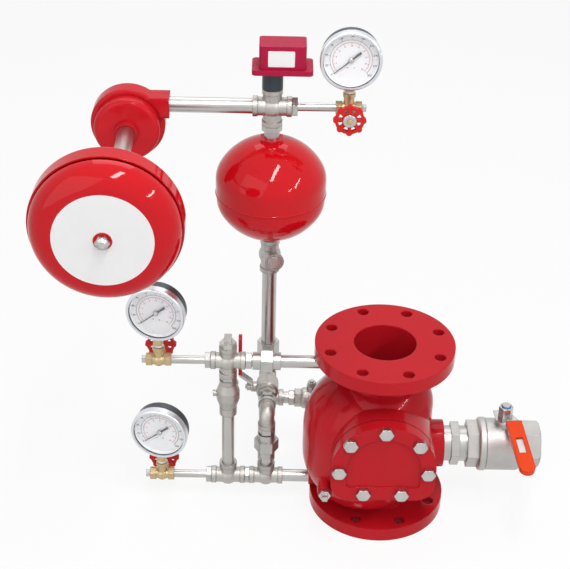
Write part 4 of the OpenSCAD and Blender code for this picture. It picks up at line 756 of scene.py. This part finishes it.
class ALARMVALVE_OT_stage(bpy.types.Operator):
    """Sets up the floor, the lamps, the world and the camera"""

    bl_idname = "alarm_valve.stage"
    bl_label = "Stage"

    def camera(self, scene, stage):
        sight = bpy.data.cameras.new("camera")
        sight.sensor_width = SENSOR_WIDTH
        sight.lens = stage.focal / PHOTO_WIDTH * SENSOR_WIDTH
        sight.clip_end = CAMERA_FAR
        eye = bpy.data.objects.new("camera", sight)
        scene.collection.objects.link(eye)
        level = math.cos(stage.pitch)
        look = Vector((math.sin(stage.yaw) * level, math.cos(stage.yaw) * level, -math.sin(stage.pitch)))
        right = Vector((math.cos(stage.yaw), -math.sin(stage.yaw), 0))
        turn = Matrix((right, right.cross(look), -look)).transposed().to_4x4()
        eye.matrix_world = Matrix.Translation(Vector(stage.eye)) @ turn @ Matrix.Rotation(stage.roll, 4, "Z")
        scene.camera = eye

    def lamp(self, scene, name, strength, extent, at, lean):
        light = bpy.data.lights.new(name, "AREA")
        light.energy = strength
        light.shape = "RECTANGLE"
        light.size, light.size_y = extent
        made = bpy.data.objects.new(name, light)
        scene.collection.objects.link(made)
        made.matrix_world = place(at, Vector(at) - Vector(LAMP_TARGET)) @ Matrix.Rotation(lean, 4, "Z")

    def seen(self, shade):
        """One where the camera, a mirror or glass looks, and nought for the light itself."""
        camera, mirror, glass = (shade.node("ShaderNodeLightPath", out=ray) for ray in SEEING_RAYS)
        return shade.clamp(camera + mirror + glass)

    def sky(self, scene, strength):
        scene.world = bpy.data.worlds.new("studio")
        shade = Shade(scene.world, "BACKGROUND")
        shade.give(Color=WHITE, Strength=strength + (1.0 - strength) * self.seen(shade))

    def floor(self, scene):
        shape = bmesh.new()
        bmesh.ops.create_grid(shape, x_segments=1, y_segments=1, size=FLOOR_HALF)
        mesh = bpy.data.meshes.new("floor")
        shape.to_mesh(mesh)
        shape.free()
        floor = bpy.data.objects.new("floor", mesh)
        scene.collection.objects.link(floor)
        mesh.materials.append(self.floor_finish())

    def floor_finish(self):
        shade = blank("pale_floor")
        tooth = shade.noise(scale=60, detail=2)
        shade.give(Base_Color=shade.mix(tooth, (0.90, 0.90, 0.90), (0.87, 0.87, 0.87)), Roughness=0.9)
        lit = Wire(shade, shade.surface.outputs[0])
        glow = shade.node("ShaderNodeEmission", {}, {"Color": WHITE, "Strength": 1.0})
        blend = shade.node("ShaderNodeMixShader", {}, {0: FLOOR_GLOW * self.seen(shade), 1: lit, 2: glow})
        shade.feed(shade.find("OUTPUT_MATERIAL").inputs["Surface"], blend)
        return shade.owner

    def execute(self, context):
        scene = context.scene
        stage = scene.alarm_valve_stage
        scene.view_settings.view_transform = "Standard"
        self.sky(scene, stage.sky)
        self.floor(scene)
        for name, settings in LAMPS.items():
            self.lamp(scene, name + "_lamp", getattr(stage, name), **settings)
        self.camera(scene, stage)
        return {"FINISHED"}


MAKERS = (
    ALARMVALVE_OT_finishes,
    ALARMVALVE_OT_dials,
    ALARMVALVE_OT_tape,
    ALARMVALVE_OT_wheel_discs,
    ALARMVALVE_OT_valve_plugs,
    ALARMVALVE_OT_gong_label,
    ALARMVALVE_OT_switch_label,
    ALARMVALVE_OT_lock_ring,
    ALARMVALVE_OT_weld,
    ALARMVALVE_OT_stage,
)


class ALARMVALVE_PT_panel(bpy.types.Panel):
    """Lists the makers of the alarm valve's pieces"""

    bl_idname = "ALARMVALVE_PT_panel"
    bl_label = "Alarm valve"
    bl_space_type = "VIEW_3D"
    bl_region_type = "UI"
    bl_category = "Alarm valve"

    def draw(self, context):
        for maker in MAKERS:
            self.layout.operator(maker.bl_idname)


GROUPS = {"alarm_valve_finish": FinishSettings, "alarm_valve_dial": DialSettings, "alarm_valve_stage": StageSettings}


def register():
    for kind in (*GROUPS.values(), *MAKERS, ALARMVALVE_PT_panel):
        bpy.utils.register_class(kind)
    for name, group in GROUPS.items():
        setattr(bpy.types.Scene, name, PointerProperty(type=group))


def unregister():
    for name in GROUPS:
        delattr(bpy.types.Scene, name)
    for kind in reversed((*GROUPS.values(), *MAKERS, ALARMVALVE_PT_panel)):
        bpy.utils.unregister_class(kind)


def main():
    register()
    for maker in MAKERS:
        group, call = maker.bl_idname.split(".")
        getattr(getattr(bpy.ops, group), call)()


if __name__ == "__main__":
    main()
